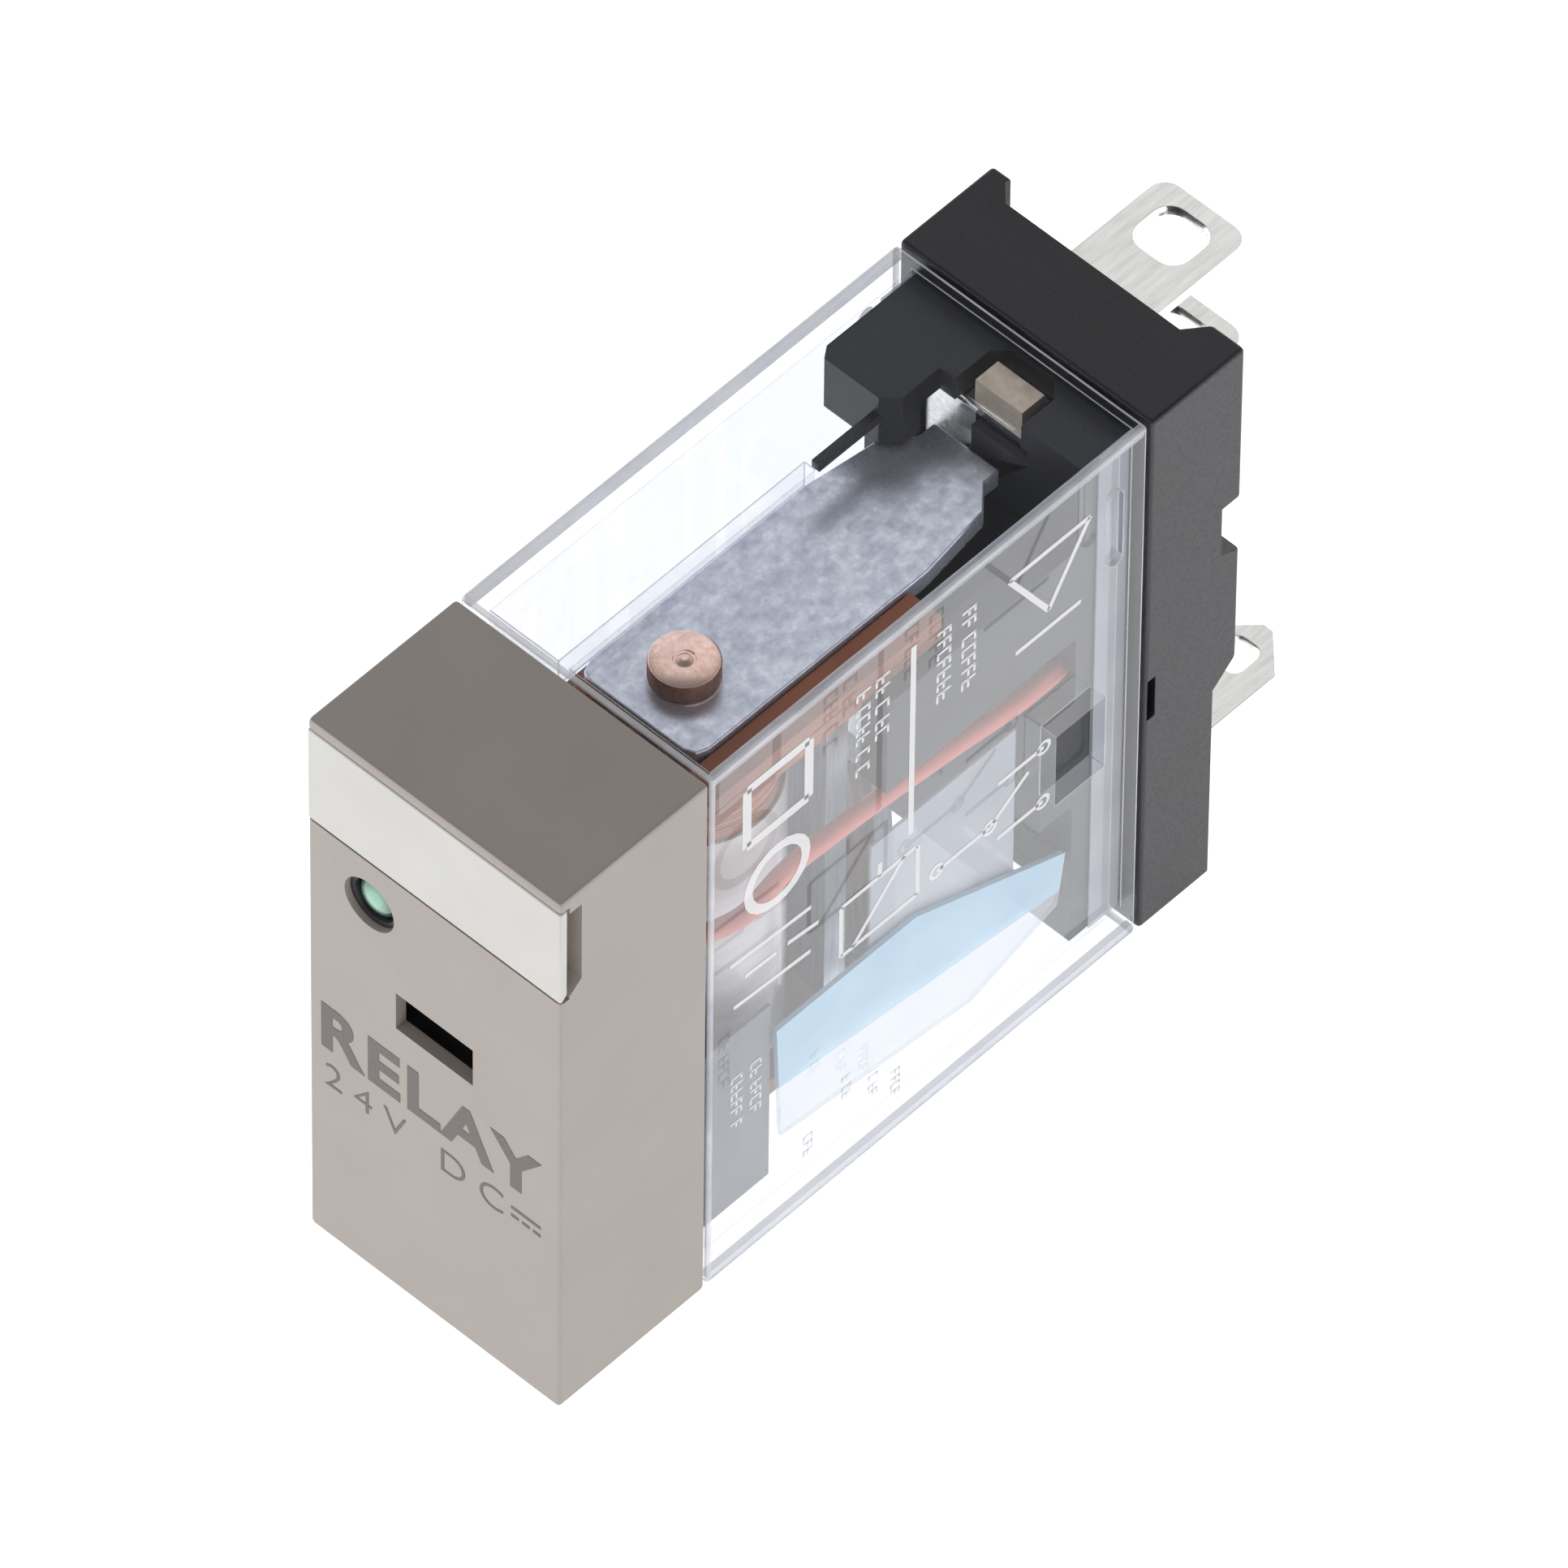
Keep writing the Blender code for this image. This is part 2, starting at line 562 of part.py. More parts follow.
def cut_terminal_slots(base):
    """Slots that the blades pass through, and the window over the top terminal."""
    grow = SLOT_CLEARANCE
    left, right = BLADE_X - BLADE_WIDTH / 2 - grow, BLADE_X + BLADE_WIDTH / 2 + grow
    thick = BLADE_THICKNESS / 2 + grow
    front, past = PEDESTAL_FRONT - 1, BASE_BACK + 1
    for z in (BLADE_TOP_Z, COM_BLADE_Z, NO_BLADE_Z):
        cut_box(base, (left, front, z - thick), (right, past, z + thick))
    cut_box(base, (PAD_LEFT - grow, front, BLADE_TOP_Z - thick), (PAD_RIGHT + grow, PAD_BACK + grow, BLADE_TOP_Z + thick))
    drop_back = NC_DROP_Y + BLADE_THICKNESS + grow
    cut_box(base, (left, front, NC_RUN_Z - thick), (NC_STRIP_RIGHT + grow, drop_back, BLADE_TOP_Z))
    half = COIL_BLADE_WIDTH / 2 + grow
    for side in (-1, 1):
        x = side * COIL_BLADE_X
        cut_box(base, (x - half, front, COIL_BLADE_Z - thick), (x + half, past, COIL_BLADE_Z + thick))
    left, right, back = LUG_X - LUG_WIDTH / 2 - 0.45, LUG_X + LUG_WIDTH / 2 + 0.45, PEDESTAL_FRONT + 2.45
    window = [(left, front), (right, front), (right, back - 0.6), (right - 0.6, back), (left + 0.6, back),
              (left, back - 0.6)]
    combine(base, outline_mesh("terminal_window", window, BLADE_TOP_Z, BODY_HEIGHT - CASE_WALL, "XY"), "DIFFERENCE")


# ---------------------------------------------------------------- terminals

def blade_outline(x, width, inner_y, chamfer, corner_steps):
    """Plug blade seen from above: straight sides and tip corners that are rounded, or cut for one step."""
    depth = 2 * (BLADE_TIP - inner_y)
    corners = rounded(x, inner_y, width, depth, chamfer, corner_steps)[:2 * (corner_steps + 1)]
    return [(x - width / 2, inner_y), (x + width / 2, inner_y)] + corners


def blade(name, x, z, width, inner_y, chamfer, hole_width, hole_length, corner_steps=5):
    """Flat blade with an oblong hole near its tip."""
    low, high = z - BLADE_THICKNESS / 2, z + BLADE_THICKNESS / 2
    made = add_object(name, outline_mesh(name, blade_outline(x, width, inner_y, chamfer, corner_steps), low, high, "XY"),
                      tin)
    middle = BLADE_TIP - 0.45 - hole_length / 2 - chamfer / 3
    hole = rounded(x, middle, hole_width, hole_length, 0.32 * hole_width)
    combine(made, outline_mesh(name + "_hole", hole, low - 1, high + 1, "XY"), "DIFFERENCE")
    return made


def contact_plate(terminal, x, y, top, bottom, width):
    """Upright plate at the inner end of a terminal that carries its fixed contact."""
    join_box(terminal, (x - width / 2, y, bottom), (x + width / 2, y + BLADE_THICKNESS, top))
    cut_rod(terminal, (x, y - 1, CONTACT_Z), (x, y + 1.5, CONTACT_Z), 0.45 + PART_GAP, 16)


def make_terminals():
    """The three contact terminals with their inner ends, and the two coil terminals."""
    left, right = BLADE_X - BLADE_WIDTH / 2, BLADE_X + BLADE_WIDTH / 2
    half_t = BLADE_THICKNESS / 2
    contact_blade = (BLADE_CHAMFER, 2.5, 2.4)
    lug_y = SPRING_Y + SPRING_THICKNESS + RUN_GAP
    com = blade("com_terminal", BLADE_X, COM_BLADE_Z, BLADE_WIDTH, lug_y + INSET, *contact_blade)
    join_box(com, (left + INSET, lug_y, SPRING_PIVOT_Z - 0.6), (right - INSET, lug_y + BLADE_THICKNESS, COM_BLADE_Z))
    no = blade("no_terminal", BLADE_X, NO_BLADE_Z, BLADE_WIDTH, NO_PLATE_Y + INSET, *contact_blade)
    contact_plate(no, CONTACT_X, NO_PLATE_Y, NO_BLADE_Z, CONTACT_Z - 1.2, 3.0)
    nc = blade("nc_terminal", BLADE_X, BLADE_TOP_Z, BLADE_WIDTH, NC_DROP_Y + 2 * INSET, *contact_blade)
    join_box(nc, (PAD_LEFT, NC_DROP_Y + INSET, BLADE_TOP_Z - half_t + 0.04), (PAD_RIGHT, PAD_BACK, BLADE_TOP_Z + half_t - 0.04))
    # lug that stands up in the window of the base
    lug_y = PEDESTAL_FRONT + LUG_SETBACK
    join_box(nc, (LUG_X - LUG_WIDTH / 2, lug_y, BLADE_TOP_Z), (LUG_X + LUG_WIDTH / 2, lug_y + LUG_DEPTH,
                                                               BLADE_TOP_Z + LUG_HEIGHT))
    drop_back = NC_DROP_Y + BLADE_THICKNESS
    join_box(nc, (left + INSET, NC_DROP_Y, NC_RUN_Z - 0.1), (NC_STRIP_RIGHT, drop_back, BLADE_TOP_Z))
    join_box(nc, (left + 2 * INSET, NC_PLATE_Y + INSET, NC_RUN_Z - half_t), (NC_STRIP_RIGHT - INSET, drop_back - INSET,
                                                                           NC_RUN_Z + half_t))
    contact_plate(nc, CONTACT_X, NC_PLATE_Y, NC_RUN_Z, CONTACT_Z - 1.2, 3.0)
    for side, name in ((1, "coil_terminal_a"), (-1, "coil_terminal_b")):
        blade(name, side * COIL_BLADE_X, COIL_BLADE_Z, COIL_BLADE_WIDTH, COIL_INNER_Y, COIL_BLADE_CHAMFER, 1.4, 1.6,
              corner_steps=1)


def contact_rivet(name, y_face, direction, back_y):
    """Silver contact with a head at y_face and a shank that ends at back_y."""
    head = FIXED_HEAD * direction
    made = add_object(name, rod_mesh(name, (CONTACT_X, y_face, CONTACT_Z),
                                     (CONTACT_X, y_face + head, CONTACT_Z), CONTACT_RADIUS, 24), silver)
    combine(made, rod_mesh(name + "_shank", (CONTACT_X, y_face + head * 0.5, CONTACT_Z),
                           (CONTACT_X, back_y, CONTACT_Z), 0.45, 16), "UNION")
    return smooth(apply_modifiers(made))


def make_contacts():
    contact_rivet("nc_contact", NC_FACE_Y, -1, NC_PLATE_Y - 0.1)
    contact_rivet("no_contact", NO_FACE_Y, 1, NO_PLATE_Y + BLADE_THICKNESS + 0.1)
    # the moving spring is a leaf that hangs from the common terminal
    top = SPRING_PIVOT_Z + 0.25
    left, right = BLADE_X - BLADE_WIDTH / 2, BLADE_X + BLADE_WIDTH / 2
    arm = right + 0.9
    leaf = [(left, top), (left, 16.5), (CONTACT_X - 1.2, 14.6), (CONTACT_X - 1.2, CONTACT_Z - 1.2),
            (CONTACT_X + 1.2, CONTACT_Z - 1.2), (CONTACT_X + 1.2, 13.7), (arm, 13.7), (arm, 16.0),
            (right, 16.8), (right, top)]
    spring = add_object("moving_spring", leaf_mesh("moving_spring", leaf, SPRING_Y, SPRING_THICKNESS), bronze)
    cut_rod(spring, (CONTACT_X, SPRING_Y - 1, CONTACT_Z), (CONTACT_X, SPRING_Y + 1, CONTACT_Z), 0.45 + 0.05, 16)
    apply_modifiers(spring)
    pivot = (0, CONTACT_MID_Y, SPRING_PIVOT_Z)
    hinge_origin(spring, pivot)
    hinge_origin(make_moving_contact(), pivot)


def make_moving_contact():
    """Two heads on one shank, clinched through the moving spring with a small gap to the leaf."""
    name = "moving_contact"
    near, far = SPRING_Y - CONTACT_HEAD, SPRING_Y + SPRING_THICKNESS + CONTACT_HEAD
    made = add_object(name, rod_mesh(name, (CONTACT_X, near, CONTACT_Z),
                                     (CONTACT_X, SPRING_Y - 0.05, CONTACT_Z), CONTACT_RADIUS, 24), silver)
    combine(made, rod_mesh(name + "_far", (CONTACT_X, SPRING_Y + SPRING_THICKNESS + 0.05, CONTACT_Z),
                           (CONTACT_X, far, CONTACT_Z), CONTACT_RADIUS, 24), "UNION")
    combine(made, rod_mesh(name + "_shank", (CONTACT_X, near + 0.2, CONTACT_Z),
                           (CONTACT_X, far - 0.2, CONTACT_Z), 0.42, 16), "UNION")
    return smooth(apply_modifiers(made))


def leaf_mesh(name, points, y, thickness):
    """Flat spring in an upright X-Z plane: (x, z) points, front face at y."""
    mesh = outline_mesh(name, [(px, pz) for px, pz in points], 0, thickness, "XY")
    stand = Matrix.Translation((0, (y + thickness - MID_Y) * MM, 0)) @ Matrix.Rotation(math.pi / 2, 4, "X")
    mesh.transform(stand @ Matrix.Translation((0, MID_Y * MM, 0)))
    return mesh


# ---------------------------------------------------------------- magnet system

def make_bobbin():
    bobbin = box_part("bobbin", (MAGNET_X - 3.4, FLANGE_FRONT, TOP_FLANGE_BOTTOM),
                      (4.6, FLANGE_BACK, TOP_FLANGE_TOP), phenolic)
    join_box(bobbin, (-4.3, FLANGE_FRONT, LOW_FLANGE_BOTTOM), (4.3, FLANGE_BACK, LOW_FLANGE_TOP))
    bottom = (MAGNET_X, CORE_Y, LOW_FLANGE_TOP - 0.2)
    combine(bobbin, rod_mesh("sleeve", bottom, (MAGNET_X, CORE_Y, TOP_FLANGE_BOTTOM + 0.2), SLEEVE_RADIUS, 28), "UNION")
    cut_rod(bobbin, (MAGNET_X, CORE_Y, LOW_FLANGE_BOTTOM - 1), (MAGNET_X, CORE_Y, TOP_FLANGE_TOP + 1),
            CORE_RADIUS + PART_GAP, 28)
    for side in (-1, 1):
        cut_rod(bobbin, (side * PIN_X, FLANGE_BACK - 1.5, PIN_Z), (side * PIN_X, FLANGE_BACK + 1, PIN_Z),
                PIN_RADIUS + 0.05, 12)
    return bobbin


def make_winding():
    top, bottom = TOP_FLANGE_BOTTOM - PART_GAP, LOW_FLANGE_TOP + PART_GAP
    inner = SLEEVE_RADIUS + PART_GAP
    profile = [(inner, top), (COIL_RADIUS - 0.15, top), (COIL_RADIUS - 0.15, bottom), (inner, bottom), (inner, top)]
    return turned("winding", profile, (MAGNET_X, CORE_Y), copper_wire, 36)


def make_coil_tape():
    top, bottom = TOP_FLANGE_BOTTOM - 3.4, LOW_FLANGE_TOP + 0.5
    inner, outer = COIL_RADIUS - 0.07, COIL_RADIUS + 0.03
    profile = [(inner, top), (outer, top), (outer, bottom), (inner, bottom), (inner, top)]
    return turned("coil_tape", profile, (MAGNET_X, CORE_Y), tape, 36)


def make_core():
    """Soft iron core: riveted head on the yoke, shank through the bobbin, pole disc below."""
    head_top = YOKE_TOP_Z + RIVET_HEIGHT
    neck = RIVET_RADIUS - 0.25
    pole_top = POLE_FACE_Z + POLE_THICKNESS
    profile = [(0, head_top - 0.25), (0.35, head_top - 0.25), (0.45, head_top), (RIVET_RADIUS - 0.15, head_top),
               (RIVET_RADIUS, head_top - 0.15), (RIVET_RADIUS, YOKE_TOP_Z + 0.06), (neck, YOKE_TOP_Z + 0.06),
               (neck, YOKE_BOTTOM_Z - 0.06), (CORE_RADIUS, YOKE_BOTTOM_Z - 0.06), (CORE_RADIUS, pole_top),
               (POLE_RADIUS, pole_top), (POLE_RADIUS, POLE_FACE_Z), (0, POLE_FACE_Z)]
    return turned("core", profile, (MAGNET_X, CORE_Y), copper_core, 32)


def make_yoke():
    """Top plate with a tab that the base holds, and the upright leg that the armature tips on."""
    left, right = MAGNET_X - YOKE_HALF_WIDTH, MAGNET_X + YOKE_HALF_WIDTH
    corner = 0.7
    taper_end = YOKE_SHOULDER_Y + YOKE_TAPER_LENGTH
    # half of the outline, front to back, then its mirror image
    half = [(YOKE_HALF_WIDTH - corner, YOKE_FRONT), (YOKE_HALF_WIDTH - 0.2, YOKE_FRONT + 0.2),
            (YOKE_HALF_WIDTH, YOKE_FRONT + corner), (YOKE_HALF_WIDTH, YOKE_SHOULDER_Y), (YOKE_TAPER_HALF, taper_end),
            (YOKE_TAB_HALF, taper_end + YOKE_SHOULDER), (YOKE_TAB_HALF, YOKE_TAB_END)]
    outline = [(MAGNET_X + px, py) for px, py in half] + [(MAGNET_X - px, py) for px, py in reversed(half)]
    plate = add_object("yoke_plate", outline_mesh("yoke_plate", outline, YOKE_BOTTOM_Z, YOKE_TOP_Z, "XY"), zinc)
    cut_rod(plate, (MAGNET_X, CORE_Y, YOKE_BOTTOM_Z - 1), (MAGNET_X, CORE_Y, YOKE_TOP_Z + 1),
            RIVET_RADIUS - 0.25 + 0.06, 24)
    leg = box_part("yoke_leg", (left + 0.15, LEG_FRONT, POLE_FACE_Z + 0.1),
                   (right - 0.15, LEG_BACK, YOKE_BOTTOM_Z - PART_GAP), zinc)
    cut_rod(leg, (MAGNET_X, LEG_FRONT - 1, RIVET_Z), (MAGNET_X, LEG_BACK + 1, RIVET_Z), 0.55, 16)
    return plate, leg


def make_armature():
    """Bent iron armature, drawn pulled in and then let back by its travel about the pivot."""
    low = ARMATURE_TOP_Z - ARMATURE_THICKNESS
    half = YOKE_HALF_WIDTH - 0.25
    outline = [(FLANGE_FRONT, ARMATURE_TOP_Z), (FLANGE_FRONT, low), (LEG_TWO_BACK, low),
               (LEG_TWO_BACK, PIVOT_Z + ARMATURE_LEG_TOP), (LEG_TWO_FRONT, PIVOT_Z + ARMATURE_LEG_TOP),
               (LEG_TWO_FRONT, ARMATURE_TOP_Z)]
    armature = add_object("armature", outline_mesh("armature", outline, MAGNET_X - half, MAGNET_X + half, "YZ"), zinc)
    join_box(armature, (MAGNET_X - 1.2, FLAG_Y - 0.2, low + 0.05), (MAGNET_X + 1.2, FLANGE_FRONT + 0.5, ARMATURE_TOP_Z - 0.05))
    apply_modifiers(armature)
    hinge_origin(armature, (0, PIVOT_Y, PIVOT_Z))
    armature.rotation_euler = (TRAVEL, 0, 0)
    return armature


def make_return_spring():
    """Leaf on the back of the yoke leg whose foot presses the armature's heel."""
    front, back = LEG_BACK + PART_GAP, LEG_BACK + PART_GAP + 0.15
    foot = ARMATURE_TOP_Z + 0.22
    outline = [(front, RIVET_Z + 1.3), (back, RIVET_Z + 1.3), (back, foot + 0.15), (LEG_TWO_FRONT - 0.35, foot + 0.15),
               (LEG_TWO_FRONT - 0.35, foot), (front, foot)]
    spring = add_object("return_spring", outline_mesh("return_spring", outline, MAGNET_X - 1.6, MAGNET_X + 1.6, "YZ"), bronze)
    cut_rod(spring, (MAGNET_X, LEG_BACK - 1, RIVET_Z), (MAGNET_X, LEG_BACK + 2, RIVET_Z), 0.55, 16)
    rivet = add_object("spring_rivet", rod_mesh("spring_rivet", (MAGNET_X, back + 0.05, RIVET_Z),
                                                (MAGNET_X, back + 0.4, RIVET_Z), 0.85, 20), copper_core)
    combine(rivet, rod_mesh("rivet_shank", (MAGNET_X, LEG_FRONT + 0.1, RIVET_Z),
                            (MAGNET_X, back + 0.2, RIVET_Z), 0.48, 16), "UNION")
    smooth(apply_modifiers(rivet))
    return spring


def make_card():
    """Insulating push card between the armature and the moving spring."""
    low, high = CARD_Z - CARD_HEIGHT / 2, CARD_Z + CARD_HEIGHT / 2
    outline = [(0.9, CARD_FRONT), (2.3, CARD_FRONT), (2.3, CARD_BACK), (0.9, CARD_BACK)]
    card = add_object("actuator_card", outline_mesh("actuator_card", outline, low, high, "XY"), white_nylon)
    return card


def make_flag():
    """Indicator slide: stands on the armature's tongue and shows its head behind the cap window."""
    flag = box_part("indicator_flag", (-1.0, FLAG_Y, FLAG_BOTTOM), (1.0, FLAG_Y + 0.7, FLAG_TOP), flag_orange)
    join_box(flag, (-1.7, 2.0, FLAG_LOW), (1.7, FLAG_Y + 0.4, FLAG_TOP))
    cut_box(flag, (-2.0, 2.7, FLAG_LOW + 0.8), (2.0, FLAG_Y - 0.4, FLAG_TOP - 0.8))
    return flag


# ---------------------------------------------------------------- lamp circuit and wiring

def make_lamp():
    board = box_part("led_board", (-4.7, BOARD_Y, 19.2), (4.7, BOARD_Y + BOARD_THICKNESS, 26.6), board_green)
    flange = LED_RADIUS + 0.12
    dome = [(0, BOARD_Y - 0.1), (flange, BOARD_Y - 0.1), (flange, BOARD_Y - 0.5), (LED_RADIUS, BOARD_Y - 0.5)]
    dome += [(LED_RADIUS * math.cos(angle), 1.3 - 0.95 * math.sin(angle))
             for angle in (math.pi / 2 * step / 6 for step in range(7))]
    dome[-1] = (0, dome[-1][1])
    lamp = turned("led", [(radius, -height) for radius, height in dome[::-1]], (LED_X, 0), led_green, 24)
    lamp.location = at(LED_X, 0, LED_Z)
    lamp.rotation_euler = (math.pi / 2, 0, 0)
    for name, z, radius, length, finish in (("resistor", 24.4, 0.65, 3.4, resistor_body),
                                            ("suppression_diode", 22.0, 0.6, 2.8, diode_body)):
        middle_y = BOARD_Y - 0.1 - radius
        body = add_object(name, rod_mesh(name, (1.6 - length / 2, middle_y, z), (1.6 + length / 2, middle_y, z), radius, 20), finish)
        combine(body, rod_mesh(name + "_wire", (1.6 - length / 2 - 0.6, middle_y, z),
                               (1.6 + length / 2 + 0.6, middle_y, z), 0.2, 10), "UNION")
        smooth(apply_modifiers(body))
    return board


def make_leads():
    """Insulated leads from the lamp board along both side walls into the base."""
    back = BOARD_Y + BOARD_THICKNESS + PART_GAP
    for side, name, finish in ((1, "lamp_lead_red", red_sleeve), (-1, "lamp_lead_black", diode_body)):
        inner, outer = side * LEAD_X, side * LEAD_SIDE_X
        places = [(inner, back, LEAD_HOLE_Z), (inner, back + 1.9, LEAD_HOLE_Z - 0.1), (side * (LEAD_X + 0.1), 7.0, 17.9),
                  (side * (LEAD_X + 0.25), 8.6, 16.7), (outer, 11.0, 16.9), (outer, 13.5, 17.5), (outer, 17.5, 17.3),
                  (outer, 21.7, 16.8), (outer, 25.5, 16.2), (side * LEAD_INNER_X, PEDESTAL_FRONT + 0.9, LEAD_END_Z)]
        wire(name, places, LEAD_RADIUS, finish)


def make_coil_wiring():
    """Winding pins in the lower flange, and wires from them to the coil terminals."""
    for side, letter in ((1, "a"), (-1, "b")):
        x = side * PIN_X
        end = FLANGE_BACK + 2.0
        pin = add_object("coil_pin_" + letter, rod_mesh("coil_pin_" + letter, (x, FLANGE_BACK - 1.3, PIN_Z),
                                                        (x, end, PIN_Z), PIN_RADIUS, 12), tin)
        smooth(pin)
        clear_pin = PIN_Z + PIN_RADIUS + COIL_WIRE_RADIUS + PART_GAP
        on_blade = COIL_BLADE_Z + BLADE_THICKNESS / 2 + COIL_WIRE_RADIUS + PART_GAP
        places = [(x, end - 1.2, clear_pin), (x, end - 0.2, clear_pin + 0.05), (x, end + 2.0, clear_pin - 0.5),
                  (x * 0.95, 24.0, 4.7), (side * COIL_BLADE_X, COIL_INNER_Y - 0.7, on_blade - 0.2),
                  (side * COIL_BLADE_X, COIL_INNER_Y + 0.5, on_blade)]
        wire("coil_wire_" + letter, places, COIL_WIRE_RADIUS, copper_wire, 3)


def make_insulation_sheet():
    """Thin blue film along the right wall, between the coil wiring and the case."""
    x = PEDESTAL_HALF - 0.3
    end = PEDESTAL_FRONT - 0.2
    outline = [(12.4, 9.6), (12.7, 3.3), (22.8, 2.0), (end - 0.4, 3.5), (end, 6.2), (19.7, 9.6)]
    return add_object("insulation_sheet", outline_mesh("insulation_sheet", outline, x, x + 0.2, "YZ"), film)


# ---------------------------------------------------------------- places shared by several pieces

RIB_X = -1.75
RIB_END = 21.2
FLAG_Y = 6.75
FLAG_TRAVEL = (PIVOT_Y - FLAG_Y - 0.35) * math.sin(TRAVEL)
FLAG_BOTTOM = ARMATURE_TOP_Z - (PIVOT_Y - FLAG_Y - 0.7) * math.sin(TRAVEL) + RUN_GAP
FLAG_LOW = WINDOW_Z - WINDOW_HEIGHT / 2 - 0.3
FLAG_TOP = WINDOW_Z + WINDOW_HEIGHT / 2 + 0.9
LEAD_X = 3.3
LEAD_SIDE_X = 4.6
LEAD_INNER_X = 4.4
LEAD_HOLE_Z = 20.0
LEAD_END_Z = 15.9
RIVET_Z = 11.6
PIN_X = 3.85
PIN_Z = (LOW_FLANGE_BOTTOM + LOW_FLANGE_TOP) / 2
NC_FACE_Y = SPRING_Y - CONTACT_HEAD - RUN_GAP
NC_PLATE_Y = NC_FACE_Y - FIXED_HEAD - PART_GAP - BLADE_THICKNESS
NO_FACE_Y = SPRING_Y + SPRING_THICKNESS + CONTACT_HEAD + CONTACT_GAP + RUN_GAP
NO_PLATE_Y = NO_FACE_Y + FIXED_HEAD + PART_GAP
NC_DROP_Y = PEDESTAL_FRONT + 0.35
NC_RUN_Z = DECK_Z + DECK_THICKNESS + 0.15 + BLADE_THICKNESS / 2
NC_STRIP_RIGHT = -0.15
PAD_LEFT = -1.1
PAD_RIGHT = 2.6
PAD_BACK = CASE_BACK + 0.1
COIL_INNER_Y = 26.4

make_front_cap()
make_nameplate()
make_clear_case()
make_base()
make_terminals()
make_contacts()
make_bobbin()
make_winding()
make_coil_tape()
make_core()
make_yoke()
make_armature()
make_return_spring()
make_card()
make_flag()
make_lamp()
make_leads()
make_coil_wiring()
make_insulation_sheet()
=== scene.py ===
import json
import math
import random

import bpy
import bmesh
from mathutils import Matrix, Vector


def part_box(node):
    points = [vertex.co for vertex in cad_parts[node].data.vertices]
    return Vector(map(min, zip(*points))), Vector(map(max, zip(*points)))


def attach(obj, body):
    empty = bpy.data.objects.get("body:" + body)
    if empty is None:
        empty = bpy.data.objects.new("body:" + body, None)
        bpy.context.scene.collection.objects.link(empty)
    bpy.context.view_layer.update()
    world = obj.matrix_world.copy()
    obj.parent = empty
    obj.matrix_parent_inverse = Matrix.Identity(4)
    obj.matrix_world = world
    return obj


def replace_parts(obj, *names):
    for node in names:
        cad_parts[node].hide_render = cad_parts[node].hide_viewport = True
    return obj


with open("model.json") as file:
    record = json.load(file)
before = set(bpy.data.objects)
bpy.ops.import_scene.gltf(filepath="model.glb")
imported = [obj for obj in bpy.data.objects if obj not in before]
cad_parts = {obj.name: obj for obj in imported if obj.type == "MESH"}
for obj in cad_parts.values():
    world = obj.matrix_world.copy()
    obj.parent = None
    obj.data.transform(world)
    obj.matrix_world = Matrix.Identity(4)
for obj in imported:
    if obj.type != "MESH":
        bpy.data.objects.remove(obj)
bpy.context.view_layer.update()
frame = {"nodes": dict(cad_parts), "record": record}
print("frame loaded:", len(frame["nodes"]), "solids")

mm = 0.001
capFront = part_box("front_cap")[0].y
bodyOf = {node: body for body, nodes in frame["record"]["behaviour"]["bodies"].items() for node in nodes}
dice = random.Random(7)


def at(x, y, z):
    # millimetres, y counted back from the face of the front cap
    return Vector((x * mm, capFront + y * mm, z * mm))


# helpers for materials

def hexToLinear(text):
    values = [int(text[i:i + 2], 16) / 255 for i in (0, 2, 4)]
    return tuple(v / 12.92 if v <= 0.04045 else ((v + 0.055) / 1.055) ** 2.4 for v in values) + (1.0,)


def addNode(tree, kind, settings=None, links=None):
    node = tree.nodes.new(kind)
    for key, value in (settings or {}).items():
        if isinstance(key, int) or key in node.inputs:
            node.inputs[key].default_value = value
        else:
            setattr(node, key, value)
    for key, socket in (links or {}).items():
        tree.links.new(socket, node.inputs[key])
    return node


def startMaterial(name, color, sockets):
    made = bpy.data.materials.new(name)
    made.use_nodes = True
    shader = made.node_tree.nodes["Principled BSDF"]
    shader.inputs["Base Color"].default_value = hexToLinear(color)
    for key, value in sockets.items():
        shader.inputs[key].default_value = value
    return made, made.node_tree, shader


def noiseAt(tree, sizeMm, stretch=(1, 1, 1), detail=2.0, roughness=0.5):
    # noise whose grain is sizeMm across, longer along an axis whose stretch is below 1
    coords = addNode(tree, "ShaderNodeTexCoord")
    mapped = addNode(tree, "ShaderNodeMapping", {"Scale": [s / (sizeMm * mm) for s in stretch]},
                     {"Vector": coords.outputs["Object"]})
    return addNode(tree, "ShaderNodeTexNoise", {"Scale": 1.0, "Detail": detail, "Roughness": roughness},
                   {"Vector": mapped.outputs["Vector"]})


def spread(tree, socket, low, high, fromLow=0.3, fromHigh=0.7):
    limits = {"From Min": fromLow, "From Max": fromHigh, "To Min": low, "To Max": high}
    return addNode(tree, "ShaderNodeMapRange", limits, {"Value": socket}).outputs["Result"]


def blendColors(tree, socket, first, second, fromLow=0.3, fromHigh=0.7):
    amount = spread(tree, socket, 0.0, 1.0, fromLow, fromHigh)
    mixed = addNode(tree, "ShaderNodeMix", {"data_type": "RGBA"})
    mixed.inputs[6].default_value = hexToLinear(first)
    mixed.inputs[7].default_value = hexToLinear(second)
    tree.links.new(amount, mixed.inputs[0])
    return mixed.outputs[2]


def paint(tree, shader, socket, first, second, fromLow=0.3, fromHigh=0.7):
    blended = blendColors(tree, socket, first, second, fromLow, fromHigh)
    tree.links.new(blended, shader.inputs["Base Color"])


def varyRoughness(tree, shader, socket, low, high):
    tree.links.new(spread(tree, socket, low, high), shader.inputs["Roughness"])


